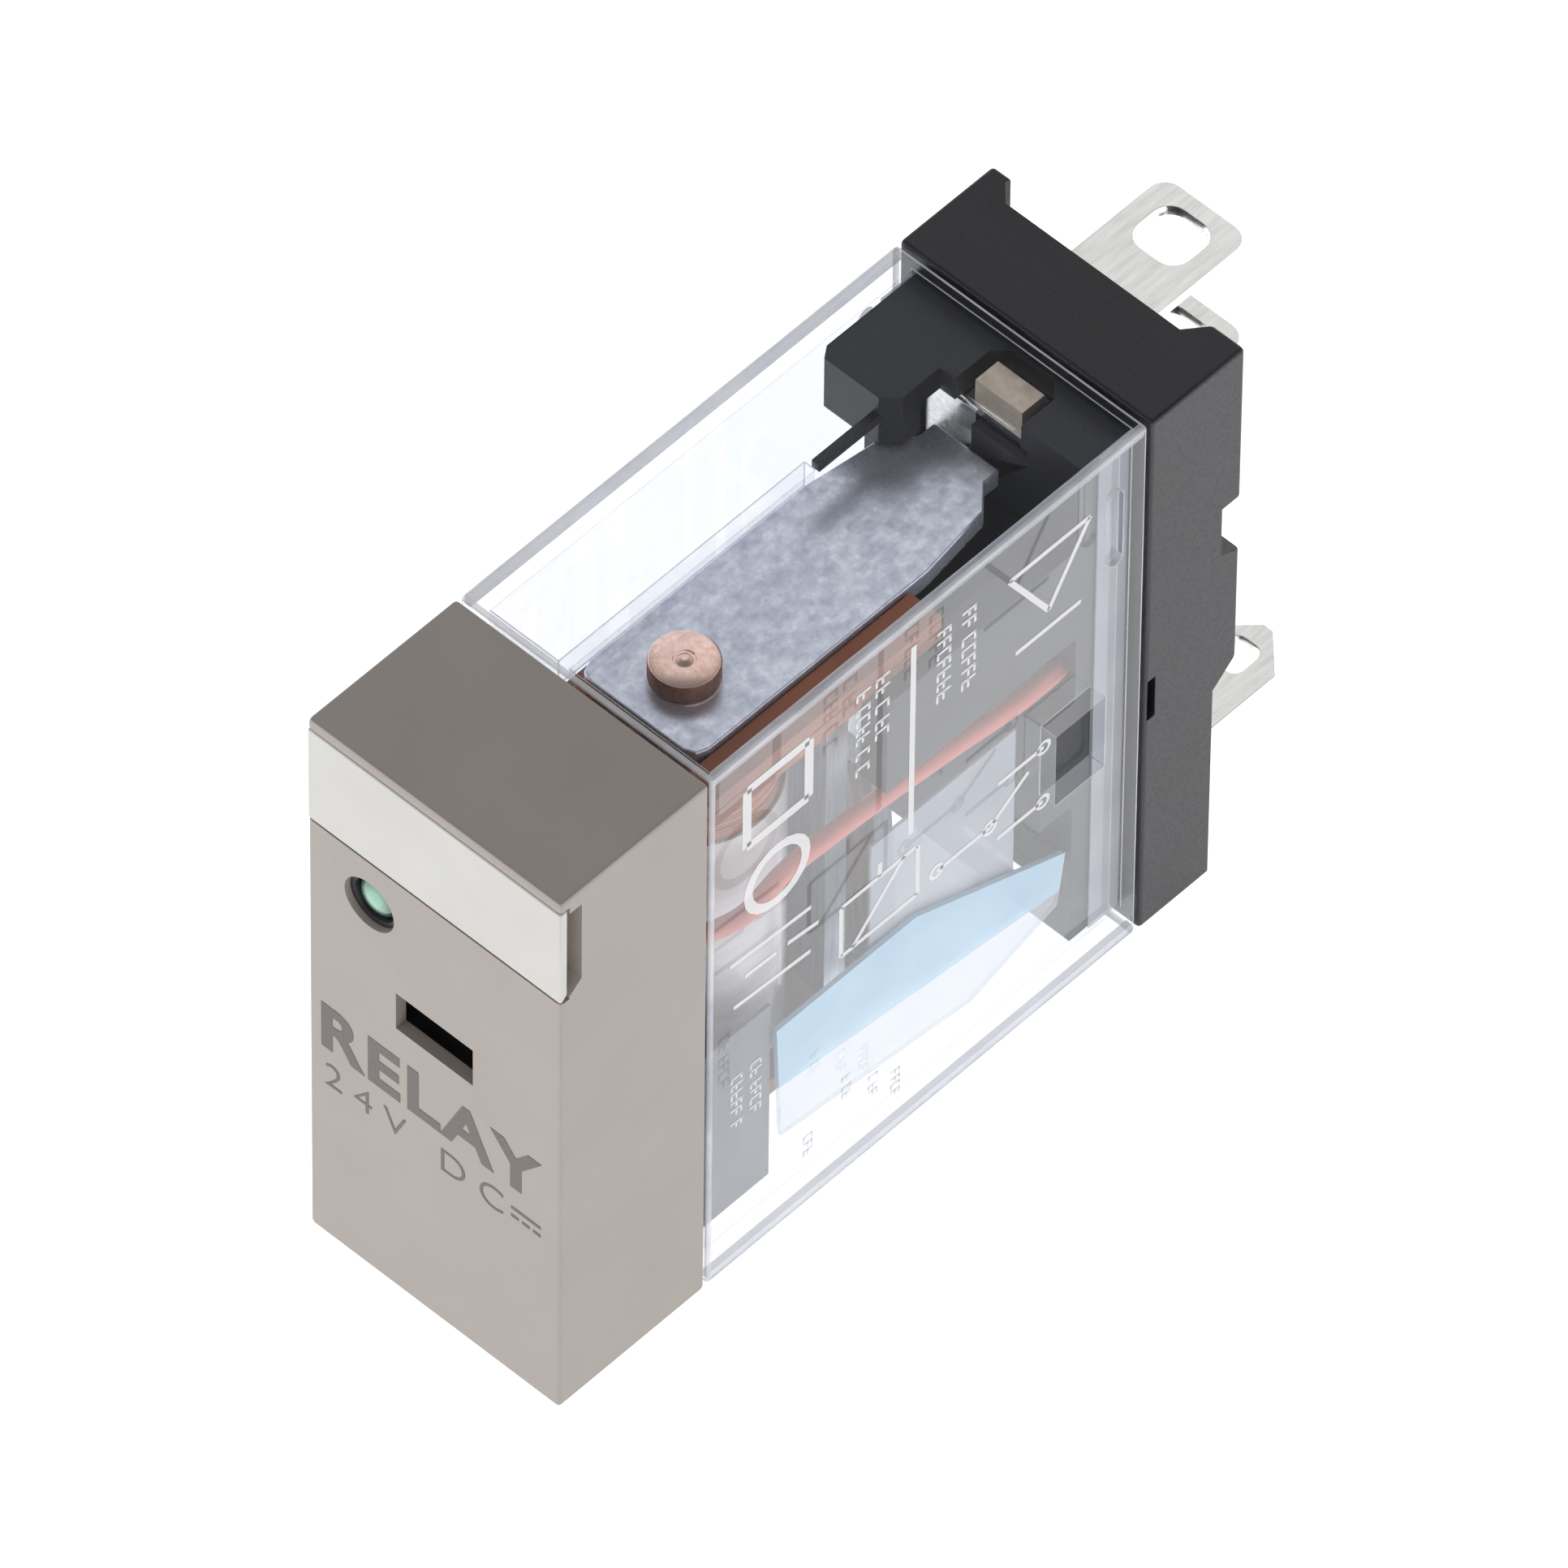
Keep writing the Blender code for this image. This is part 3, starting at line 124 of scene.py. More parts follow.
def addBump(tree, shader, socket, heightMm, strength):
    depth = {"Strength": strength, "Distance": heightMm * mm}
    bump = addNode(tree, "ShaderNodeBump", depth, {"Height": socket})
    tree.links.new(bump.outputs["Normal"], shader.inputs["Normal"])


def mouldedPlastic(name, color, shade, roughness, grainMm, depthMm, more=None):
    # injection moulded: one colour with a very faint drift, and the fine grain of the eroded tool
    made, tree, shader = startMaterial(name, color, {"Roughness": roughness, **(more or {})})
    drift = noiseAt(tree, 4.0, detail=3.0)
    paint(tree, shader, drift.outputs["Fac"], color, shade)
    grain = noiseAt(tree, grainMm, detail=1.0)
    varyRoughness(tree, shader, grain.outputs["Fac"], roughness - 0.05, roughness + 0.06)
    addBump(tree, shader, grain.outputs["Fac"], depthMm, 0.6)
    return made


def metalSheet(name, color, shade, roughness, streakMm, stretch, depthMm, metallic=1.0):
    # plated or rolled metal: fine streaks or mottling of lighter and darker plating
    made, tree, shader = startMaterial(name, color, {"Metallic": metallic, "Roughness": roughness})
    streaks = noiseAt(tree, streakMm, stretch, detail=4.0, roughness=0.65)
    paint(tree, shader, streaks.outputs["Fac"], shade, color, 0.32, 0.68)
    varyRoughness(tree, shader, streaks.outputs["Fac"], roughness + 0.08, roughness - 0.06)
    addBump(tree, shader, streaks.outputs["Fac"], depthMm, 0.5)
    return made


# helpers for shapes

def toObject(name, bm, finish, body, smoothDegrees=50):
    mesh = bpy.data.meshes.new(name)
    bm.to_mesh(mesh)
    bm.free()
    mesh.shade_smooth()
    mesh.set_sharp_from_angle(angle=math.radians(smoothDegrees))
    for one in finish if isinstance(finish, (list, tuple)) else [finish]:
        mesh.materials.append(one)
    made = bpy.data.objects.new(name, mesh)
    bpy.context.scene.collection.objects.link(made)
    even = made.modifiers.new("evenNormals", "WEIGHTED_NORMAL")  # flats stay flat beside rounded edges
    even.keep_sharp = True
    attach(made, body)
    return made


def bevelEdges(bm, offsetMm, segments, sharpDegrees=35):
    limit = math.radians(sharpDegrees)
    sharp = [e for e in bm.edges if len(e.link_faces) == 2 and e.calc_face_angle(0) > limit]
    bmesh.ops.bevel(bm, geom=sharp, offset=offsetMm * mm, offset_type="OFFSET", affect="EDGES",
                    segments=segments, profile=0.5, material=-1, clamp_overlap=True)


def mergedCopy(node):
    bm = bmesh.new()
    bm.from_mesh(frame["nodes"][node].data)
    bmesh.ops.remove_doubles(bm, verts=bm.verts, dist=0.002 * mm)
    bmesh.ops.dissolve_limit(bm, angle_limit=math.radians(0.6), verts=bm.verts, edges=bm.edges,
                             use_dissolve_boundaries=False, delimit=set())
    return bm


def refine(node, finish, edge=0.05, segments=2, change=None, smoothDegrees=50, rounds=0):
    # a finished copy of a solid: loose triangles merged, edges rounded, its own finish
    bm = mergedCopy(node)
    if change:
        change(bm)
    if edge:
        bevelEdges(bm, edge, segments)
    made = toObject(node + "_piece", bm, finish, bodyOf[node], smoothDegrees)
    if rounds:
        smoothing = made.modifiers.new("roundWire", "SUBSURF")
        smoothing.levels = smoothing.render_levels = rounds
    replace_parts(made, node)
    return made


def spunShape(profile, centre, steps, turn=None):
    # profile of (radius, height) in millimetres about a local Z axis through centre
    bm = bmesh.new()
    points = [bm.verts.new((r * mm, 0, h * mm)) for r, h in profile]
    edges = [bm.edges.new(pair) for pair in zip(points, points[1:])]
    bmesh.ops.spin(bm, geom=points + edges, cent=(0, 0, 0), axis=(0, 0, 1), angle=math.tau, steps=steps,
                   use_merge=True, use_duplicate=False)
    bmesh.ops.remove_doubles(bm, verts=bm.verts, dist=0.0005 * mm)
    bmesh.ops.recalc_face_normals(bm, faces=bm.faces)
    if turn:
        bmesh.ops.transform(bm, matrix=turn, verts=bm.verts)
    bmesh.ops.translate(bm, vec=at(*centre), verts=bm.verts)
    return bm


# finishes

# plastics: colour, shade, roughness, grain and its depth in millimetres
capAbs = mouldedPlastic("mouldedAbsTaupe", "a39b95", "9f9791", 0.40, 0.10, 0.004)
cardWhite = mouldedPlastic("smoothWhiteAbs", "cccbc8", "c6c5c1", 0.34, 0.15, 0.001)
blackPbt = mouldedPlastic("glassFilledPbtBlack", "202028", "1b1b21", 0.40, 0.12, 0.005)
phenolicBrown = mouldedPlastic("phenolicBrown", "a85a2c", "8a431f", 0.42, 0.14, 0.004)
nylonNatural = mouldedPlastic("nylonNatural", "d8d0b8", "cfc6ac", 0.45, 0.15, 0.002,
                              {"Subsurface Weight": 0.15})
oliveAcetal = mouldedPlastic("acetalOlive", "5d5640", "544d39", 0.40, 0.15, 0.002)
epoxyBlack = mouldedPlastic("mouldedEpoxyBlack", "1b1b1d", "232325", 0.45, 0.08, 0.003)
sleeveRed = mouldedPlastic("pvcSleeveRed", "e5776a", "dd6a5e", 0.42, 0.2, 0.002,
                           {"Subsurface Weight": 0.1})
greySheet = mouldedPlastic("greySheetPlastic", "6a6c72", "62646a", 0.45, 0.2, 0.002)
sleeveBlack = mouldedPlastic("pvcSleeveBlack", "2a2a2c", "222224", 0.42, 0.2, 0.002)

# metals: colour, shade, roughness, grain in millimetres, its stretch along each axis, its depth and,
# where a dull layer lies over the metal, the metallic share
# painted light: the top plate's steel is painted paler than the same steel on the uprights
zincSteelPaintedLitTop = metalSheet("zincPlatedSteel", "eceef5", "cacdd9", 0.3, 0.45, (1, 0.8, 1), 0.001, 0.75)
zincLeg = metalSheet("zincPlatedSteelUpright", "cfd2d8", "a6abb3", 0.36, 0.5, (1.6, 1.6, 0.12), 0.006)
tinPlate = metalSheet("brightTinPlate", "efefed", "e2e2df", 0.22, 0.35, (1.4, 0.15, 1.4), 0.001)
silverAlloy = metalSheet("silverAlloy", "e6e2da", "d2cdc4", 0.28, 0.3, (1, 1, 1), 0.002)
warmSilver = metalSheet("warmSilverPlate", "d9cbb8", "c9b9a4", 0.35, 0.4, (1, 1, 1), 0.002, 0.6)
springBronze = metalSheet("phosphorBronzeStrip", "d9a066", "c58a52", 0.26, 0.4, (1.4, 1.4, 0.15), 0.002)
copperIron = metalSheet("copperFlashedIron", "ffdccc", "f4c8b6", 0.22, 0.25, (1, 1, 1), 0.0005)
# painted shade: a darker copy of the copper for the side of the rivet head
copperShadedSide = metalSheet("copperFlashedIronShadedSide", "9a6c5a", "7c5242", 0.45, 0.25, (1, 1, 1), 0.001, 0.5)

# what the user would change: how fast the mirror share grows, and how opaque the painted light on the edges
# and corners is
clearSizes = {"falloff": 3.0, "mirror": 0.7, "edgeShow": 0.72, "coreShow": 0.45}


def makeClearPlastic():
    # polished polycarbonate wall: seen straight through face on, and mirrors its surroundings at low angles
    made = bpy.data.materials.new("clearPolycarbonate")
    made.use_nodes = True
    tree = made.node_tree
    tree.nodes.remove(tree.nodes["Principled BSDF"])
    facing = addNode(tree, "ShaderNodeLayerWeight", {"Blend": 0.5})
    steep = addNode(tree, "ShaderNodeMath", {"operation": "POWER", 1: clearSizes["falloff"]},
                    {0: facing.outputs["Facing"]})
    share = addNode(tree, "ShaderNodeMath", {"operation": "MULTIPLY", 1: clearSizes["mirror"]},
                    {0: steep.outputs["Value"]})
    through = addNode(tree, "ShaderNodeBsdfTransparent", {"Color": hexToLinear("fcfdff")})
    mirror = addNode(tree, "ShaderNodeBsdfGlossy", {"Color": hexToLinear("ffffff"), "Roughness": 0.04})
    mixed = addNode(tree, "ShaderNodeMixShader", {}, {0: share.outputs["Value"], 1: through.outputs["BSDF"],
                                                      2: mirror.outputs["BSDF"]})
    tree.links.new(mixed.outputs["Shader"], tree.nodes["Material Output"].inputs["Surface"])
    return made


clearPlastic = makeClearPlastic()


def makeClearEdgeLight():
    # painted light: the rounded edges of the clear moulding are painted pale, for the light they gather from
    # the whole wall
    made, tree, shader = startMaterial("clearPolycarbonatePaintedEdgeLight", "dcdfe6", {
        "Roughness": 0.3, "Alpha": clearSizes["edgeShow"]})
    broken = noiseAt(tree, 2.5, detail=2.0)
    paint(tree, shader, broken.outputs["Fac"], "c4c8d0", "eceef2")
    return made


def makeWallCore():
    # painted light: the thick of a wall seen end on is painted a faint pale grey, for the light that runs the
    # long way through the plastic
    made, tree, shader = startMaterial("clearPolycarbonatePaintedWallLight", "c8cbd4", {
        "Roughness": 0.5, "Alpha": clearSizes["coreShow"]})
    drift = noiseAt(tree, 3.0, detail=1.0)
    paint(tree, shader, drift.outputs["Fac"], "c0c3cd", "d6d9e0")
    return made


clearEdgeLight = makeClearEdgeLight()
wallLightPaint = makeWallCore()

lamp = {"x": -3.2, "z": 20.8, "radius": 0.92, "tip": 0.22, "dome": 0.4, "seat": 2.9, "steps": 64,
        "collar": 0.08, "collarDepth": 0.4, "cupHighlightRadius": 0.3, "rimShadeRadius": 0.85,
        "blackRingInner": 0.95, "blackRingOuter": 1.2, "blackRingFront": 0.3, "blackRingBack": 1.9}


def makeLampEpoxy():
    # green tinted epoxy, unlit: a paler green middle, partly the metal cup inside and partly a painted
    # highlight, and a dark rim that is painted shade
    made, tree, shader = startMaterial("tintedLampEpoxy", "2f6f56", {
        "Roughness": 0.12, "IOR": 1.54, "Coat Weight": 0.5})
    coords = addNode(tree, "ShaderNodeTexCoord")
    middle = at(lamp["x"] + 0.05, lamp["tip"], lamp["z"] + 0.15)
    reach = addNode(tree, "ShaderNodeVectorMath", {"operation": "DISTANCE", 1: middle},
                    {0: coords.outputs["Object"]})
    paint(tree, shader, reach.outputs["Value"], "8cc0a8", "23483b",
          lamp["cupHighlightRadius"] * mm, lamp["rimShadeRadius"] * mm)
    return made


lampEpoxy = makeLampEpoxy()

wire = {"pitch": 0.18, "bandsPerUnit": 0.314}


def makeWireEnamel():
    # enamelled copper: turns drawn at a 0.18 mm pitch, coarser than the real wire so that they show
    made, tree, shader = startMaterial("enamelledCopperWire", "a8522c", {
        "Metallic": 0.75, "Roughness": 0.32, "Coat Weight": 0.3})
    coords = addNode(tree, "ShaderNodeTexCoord")
    turns = {"wave_type": "BANDS", "bands_direction": "Z", "Distortion": 0.6, "Detail": 1.0,
             "Scale": wire["bandsPerUnit"] / (wire["pitch"] * mm)}
    bands = addNode(tree, "ShaderNodeTexWave", turns, {"Vector": coords.outputs["Object"]})
    paint(tree, shader, bands.outputs["Fac"], "6f2d14", "c96a3c", 0.1, 0.9)
    addBump(tree, shader, bands.outputs["Fac"], 0.04, 0.8)
    return made


wireEnamel = makeWireEnamel()


def makeFilm(name, first, second, show):
    # thin polyester film: a flat even sheen, a faint cloudiness, and some of what lies behind shows through
    made, tree, shader = startMaterial(name, first, {"Roughness": 0.25, "IOR": 1.5, "Alpha": show})
    clouds = noiseAt(tree, 3.0, detail=3.0)
    paint(tree, shader, clouds.outputs["Fac"], first, second)
    return made


blueFilm = makeFilm("bluePolyesterFilm", "9fcbe2", "b9dcec", 0.86)
frostedFilm = makeFilm("frostedScreenFilm", "b2b7bf", "c2c6cc", 0.7)
paleFilm = makeFilm("clearPolyesterFilm", "e4ecf2", "f2f6f8", 0.3)


def makeTape():
    # adhesive polyester tape wound on in laps: pale, glossy, faint lap lines
    made, tree, shader = startMaterial("polyesterCoilTape", "c9c2bf", {
        "Roughness": 0.25, "Coat Weight": 0.3})
    laps = noiseAt(tree, 1.4, (0.3, 0.3, 2.2), detail=2.0)
    paint(tree, shader, laps.outputs["Fac"], "c4bab6", "d6d1d0")
    addBump(tree, shader, laps.outputs["Fac"], 0.02, 0.5)
    return made


coilTape = makeTape()


def makeSolderMask():
    # green lacquer over copper tracks, which show as slightly lighter islands
    made, tree, shader = startMaterial("solderMaskGreen", "1d5a36", {"Roughness": 0.3, "Coat Weight": 0.2})
    tracks = noiseAt(tree, 0.9, (1.6, 1, 0.4), detail=0.0)
    paint(tree, shader, tracks.outputs["Fac"], "174a2c", "2b7a4b", 0.48, 0.52)
    return made


solderMask = makeSolderMask()


def makeInk(name, color, roughness, alpha=1.0):
    # pad-printed ink: flat and slightly uneven at its thin edges
    made, tree, shader = startMaterial(name, color, {"Roughness": roughness, "Alpha": alpha})
    speckle = noiseAt(tree, 0.12, detail=2.0)
    varyRoughness(tree, shader, speckle.outputs["Fac"], roughness - 0.08, roughness + 0.08)
    return made


whiteInk = makeInk("whitePadInk", "efeff1", 0.5, 0.8)
greyInk = makeInk("greyPadInk", "645d5a", 0.5)
resistorCoat = mouldedPlastic("resistorLacquer", "c9b48a", "bda77c", 0.35, 0.2, 0.003)
bandColors = {"bandRed": "a32018", "bandViolet": "5b3a8c", "bandBrown": "5a2f14", "bandGold": "b08a2c"}
bandInks = [makeInk(name, color, 0.35) for name, color in bandColors.items()]
print("finishes made")

# front cap, its print, the nameplate and the lamp

capSizes = {"edge": 0.045, "faceBand": 0.02, "faceRecess": 0.02, "inkFace": 0.012}
capWord = {"text": "RELAY", "left": -5.6, "right": 5.3, "low": 10.8, "high": 13.3,
           "bold": 0.03, "gap": 1.12}
capRating = {"text": "24V DC", "left": -5.4, "right": 3.4, "low": 8.75, "high": 10.0,
             "bold": -0.012, "gap": 1.5}


def recessFace(bm):
    # leaves room for the ink inside the overall depth
    front = min(v.co.y for v in bm.verts)
    for vert in bm.verts:
        if vert.co.y < front + capSizes["faceBand"] * mm:
            vert.co.y += capSizes["faceRecess"] * mm


refine("front_cap", capAbs, capSizes["edge"], 2, recessFace)


def lettering(name, words, finish):
    # words stretched to their box on the face of the cap, made a mesh before they are placed
    curve = bpy.data.curves.new(name, "FONT")
    curve.body = words["text"]
    curve.size = 1.0
    curve.offset = words["bold"]
    curve.space_character = words["gap"]
    curve.resolution_u = 6
    curve.extrude = 0.001
    drawn = bpy.data.objects.new(name + "_curve", curve)
    bpy.context.scene.collection.objects.link(drawn)
    bpy.context.view_layer.update()
    flat = bpy.data.meshes.new_from_object(drawn.evaluated_get(bpy.context.evaluated_depsgraph_get()))
    bpy.data.objects.remove(drawn)
    bm = bmesh.new()
    bm.from_mesh(flat)
    bmesh.ops.remove_doubles(bm, verts=bm.verts, dist=0.0001)
    xs, ys = [v.co.x for v in bm.verts], [v.co.y for v in bm.verts]
    acrossScale = (words["right"] - words["left"]) / (max(xs) - min(xs)) * mm
    upScale = (words["high"] - words["low"]) / (max(ys) - min(ys)) * mm
    bmesh.ops.translate(bm, vec=(-min(xs), -min(ys), 0), verts=bm.verts)
    bmesh.ops.scale(bm, vec=(acrossScale, upScale, 0.008), verts=bm.verts)
    bmesh.ops.rotate(bm, cent=(0, 0, 0), matrix=Matrix.Rotation(math.pi / 2, 3, "X"), verts=bm.verts)
    bmesh.ops.translate(bm, vec=at(words["left"], capSizes["inkFace"], words["low"]), verts=bm.verts)
    toObject(name, bm, finish, "housing")


lettering("cap_word", capWord, greyInk)
lettering("cap_rating", capRating, greyInk)


def addBar(bm, low, high):
    made = bmesh.ops.create_cube(bm, size=1.0)["verts"]
    bmesh.ops.scale(bm, vec=high - low, verts=made)
    bmesh.ops.translate(bm, vec=(low + high) / 2, verts=made)


currentMark = {"left": 3.8, "right": 5.25, "lineZ": 9.55, "dashZ": 9.1, "thick": 0.15, "dash": 0.37,
               "pitch": 0.54, "front": 0.005, "back": 0.02}


def directCurrentMark():
    # a line over three dashes, the usual sign for direct current
    left, front, back, thick = (currentMark[key] for key in ("left", "front", "back", "thick"))
    lineZ, dashZ = currentMark["lineZ"], currentMark["dashZ"]
    bm = bmesh.new()
    addBar(bm, at(left, front, lineZ), at(currentMark["right"], back, lineZ + thick))
    for dash in range(3):
        start = left + dash * currentMark["pitch"]
        addBar(bm, at(start, front, dashZ), at(start + currentMark["dash"], back, dashZ + thick))
    toObject("cap_dc_mark", bm, greyInk, "housing")


directCurrentMark()
refine("nameplate", cardWhite, 0.03, 2)
print("front cap done")


def makeLamp():
    tip, seat, radius = lamp["tip"], lamp["seat"], lamp["radius"]
    wide, shoulder = radius + lamp["collar"], seat - lamp["collarDepth"]
    profile = [(radius * math.sin(a), -(tip + lamp["dome"] * (1 - math.cos(a))))
               for a in (math.pi / 2 * i / 14 for i in range(15))]
    profile[0] = (0.0, -tip)
    profile += [(radius, -shoulder), (wide, -shoulder), (wide, -seat), (0.0, -seat)]
    facing = Matrix.Rotation(math.pi / 2, 4, "X")
    place = (lamp["x"], 0, lamp["z"])
    bm = spunShape(profile, place, lamp["steps"], facing)
    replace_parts(toObject("led_piece", bm, lampEpoxy, "housing"), "led")
    # a black ring lines the hole round the lens
    inner, outer = lamp["blackRingInner"], lamp["blackRingOuter"]
    front, back = lamp["blackRingFront"], lamp["blackRingBack"]
    ring = [(inner, -front - 0.05), (inner + 0.04, -front), (outer, -front), (outer, -back), (inner, -back),
            (inner, -front - 0.05)]
    toObject("led_black_ring", spunShape(ring, place, lamp["steps"], facing), blackPbt, "housing")


makeLamp()

# painted shade: a black block behind the lower edge of the indicator window stands for the shade in the view
# into the cap
windowShade = {"left": -3.6, "right": 2.3, "front": 0.6, "back": 1.92, "low": 14.25, "high": 14.5, "edge": 0.05}


def makeWindowShade():
    bm = bmesh.new()
    low = at(windowShade["left"], windowShade["front"], windowShade["low"])
    high = at(windowShade["right"], windowShade["back"], windowShade["high"])
    addBar(bm, low, high)
    bevelEdges(bm, windowShade["edge"], 2)
    toObject("window_painted_shade", bm, blackPbt, "housing")


makeWindowShade()

# clear case and its white print

caseSizes = {"edge": 0.07, "sideSkin": 0.02, "outerWall": 6.1, "flat": 0.998}


def makeCase():
    bm = mergedCopy("clear_case")
    for vert in bm.verts:  # leaves room for the ink inside the overall width
        if abs(vert.co.x) > caseSizes["outerWall"] * mm:
            vert.co.x -= math.copysign(caseSizes["sideSkin"] * mm, vert.co.x)
    bevelEdges(bm, caseSizes["edge"], 2)
    # the rounded edges take the second finish, the pale painted edge light
    for face in bm.faces:  # all that isn't square to an axis is a rounded edge
        if max(abs(part) for part in face.normal) < caseSizes["flat"]:
            face.material_index = 1
    made = toObject("clear_case_piece", bm, [clearPlastic, clearEdgeLight], "housing")
    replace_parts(made, "clear_case")


makeCase()

coreSizes = {"outer": 6.1, "depth": 0.3, "low": 0.1, "high": 28.7, "thick": 0.4, "front": 7.95, "back": 30.3}
rimSizes = {"outer": 5.37, "thick": 0.05, "front": 28.75, "low": 1.0, "high": 27.8}


def makeWallCores():
    # painted light: pale strips inside the four long corners of the case, and a pale band at its rim beside
    # the base
    front, back, thick = coreSizes["front"], coreSizes["back"], coreSizes["thick"]
    outer, inner = coreSizes["outer"], coreSizes["outer"] - coreSizes["depth"]
    rimOuter, rimInner = rimSizes["outer"], rimSizes["outer"] - rimSizes["thick"]
    bm = bmesh.new()
    for side in (-1, 1):
        left, right = sorted((side * rimInner, side * rimOuter))
        addBar(bm, at(left, rimSizes["front"], rimSizes["low"]), at(right, back, rimSizes["high"]))
        left, right = sorted((side * inner, side * outer))
        for bottom in (coreSizes["low"], coreSizes["high"] - thick):
            addBar(bm, at(left, front, bottom), at(right, back, bottom + thick))
    toObject("case_painted_wall_light", bm, wallLightPaint, "housing")


makeWallCores()

printSizes = {"face": 6.184, "ink": 0.012, "symbolLine": 0.45, "longRule": 0.28, "signLine": 0.24,
              "sketchLine": 0.22, "printHigh": 0.75, "rowHigh": 0.6, "footHigh": 0.5, "footLong": 1.6,
              "terminalRadius": 0.3, "terminalLine": 0.16}
# shares of the height of a sign of fine print: its strokes, its cross strokes and the spaces after it
finePrint = {"thin": 0.16, "rises": (-0.42, 0.0, 0.42), "narrow": 0.4, "wide": 0.6, "gaps": (0.25, 0.3, 0.7)}


def stroke(bm, start, end, width):
    # a bar of ink on the side wall between two (y, z) points
    along = Vector(end) - Vector(start)
    middle = (Vector(start) + Vector(end)) / 2
    made = bmesh.ops.create_cube(bm, size=1.0)["verts"]
    bmesh.ops.scale(bm, vec=(printSizes["ink"] * mm, along.length * mm, width * mm), verts=made)
    turn = Matrix.Rotation(math.atan2(along.y, along.x), 3, "X")
    bmesh.ops.rotate(bm, cent=(0, 0, 0), matrix=turn, verts=made)
    centre = at(printSizes["face"] + printSizes["ink"] / 2, middle.x, middle.y)
    bmesh.ops.translate(bm, vec=centre, verts=made)


def ringStroke(bm, centre, radius, width, steps=20):
    # a ring of ink on the side wall, spun from one short cross edge
    face = printSizes["face"]
    ends = [bm.verts.new(at(face + printSizes["ink"], centre[0] + reach, centre[1]))
            for reach in (radius - width / 2, radius + width / 2)]
    edge = bm.edges.new(ends)
    bmesh.ops.spin(bm, geom=ends + [edge], cent=at(face, *centre), axis=(1, 0, 0),
                   angle=math.tau, steps=steps, use_merge=True, use_duplicate=False)


def textRow(bm, y, top, bottom, height):
    # a row of small strokes that stands for fine print, running down the wall
    z, thin = top, height * finePrint["thin"]
    while z - height * finePrint["wide"] > bottom:
        wide = height * dice.uniform(finePrint["narrow"], finePrint["wide"])
        stroke(bm, (y - height / 2, z), (y + height / 2, z), thin)
        for rise in dice.sample(finePrint["rises"], 2):
            stroke(bm, (y + rise * height, z), (y + rise * height, z - wide), thin)
        z -= wide + height * dice.choice(finePrint["gaps"])


def outline(bm, corners, width):
    # closed outline through its corners
    for start, end in zip(corners, corners[1:] + corners[:1]):
        stroke(bm, start, end, width)


def makeCasePrint():
    # every place is (y, z) on the right wall
    sketchLine, signLine = printSizes["sketchLine"], printSizes["signLine"]
    bm = bmesh.new()
    # a plain square, a plain ring and the long rule
    outline(bm, [(9.6, 26.7), (12.8, 26.7), (12.8, 23.5), (9.6, 23.5)], printSizes["symbolLine"])
    ringStroke(bm, (11.2, 20.6), 1.5, printSizes["symbolLine"])
    stroke(bm, (18.2, 27.2), (18.2, 16.6), printSizes["longRule"])
    for y, top, bottom in ((15.6, 26.9, 21.8), (16.6, 26.9, 23.4), (19.8, 26.7, 22.4),
                           (21.1, 26.7, 21.6)):
        textRow(bm, y, top, bottom, printSizes["printHigh"])
    # a plain triangle and a short bar
    outline(bm, [(23.2, 26.4), (27.4, 26.4), (25.3, 23.0)], signLine)
    stroke(bm, (23.6, 22.0), (27.0, 22.0), signLine)
    # wiring sketch: coil box with its slash and tail, and a changeover contact with its terminals
    outline(bm, [(14.6, 15.6), (14.6, 12.8), (18.6, 12.8), (18.6, 15.6)], sketchLine)
    stroke(bm, (15.2, 12.8), (17.9, 15.6), sketchLine)
    stroke(bm, (16.6, 15.6), (16.6, 16.4), sketchLine)
    for start, end in (((19.6, 13.2), (22.4, 13.2)), ((22.4, 13.2), (24.4, 14.6)),
                       ((22.8, 15.3), (25.2, 15.3)), ((22.8, 12.2), (25.2, 12.2))):
        stroke(bm, start, end, sketchLine)
    # short rules beside the sketch
    for start, end in (((8.8, 17.4), (13.0, 17.1)), ((9.6, 16.2), (11.2, 16.1)),
                       ((11.8, 16.1), (13.4, 15.9)), ((9.0, 14.9), (13.0, 14.6))):
        stroke(bm, start, end, sketchLine)
    for y in (9.2, 10.2):
        textRow(bm, y, 10.8, 7.6, printSizes["rowHigh"])
    for centre in ((19.6, 13.2), (25.2, 15.3), (25.2, 12.2), (22.4, 13.2)):
        ringStroke(bm, centre, printSizes["terminalRadius"], printSizes["terminalLine"], 16)
    for y, top in ((15.0, 5.6), (16.4, 4.4), (17.6, 3.6), (13.0, 4.0)):
        textRow(bm, y, top, top - printSizes["footLong"], printSizes["footHigh"])
    toObject("case_side_print", bm, whiteInk, "housing")


makeCasePrint()
print("case done")

# base and terminals

refine("base", blackPbt, 0.07, 2)
lug = {"bottom": 26.6}


def paintLug(bm):
    # the lug in the window of the base is plated warm silver
    for face in bm.faces:
        if face.calc_center_median().z > lug["bottom"] * mm:
            face.material_index = 1


refine("nc_terminal", [tinPlate, warmSilver], 0.05, 2, paintLug)
for terminal in ("com_terminal", "no_terminal", "coil_terminal_a", "coil_terminal_b"):
    refine(terminal, tinPlate, 0.05, 2)
print("base and blades done")

# magnet system

refine("bobbin", phenolicBrown, 0.06, 2)
# the top plate takes the paler steel, painted light
refine("yoke_plate", zincSteelPaintedLitTop, 0.12, 3)
refine("yoke_leg", zincLeg, 0.12, 3)
refine("armature", zincLeg, 0.12, 3)

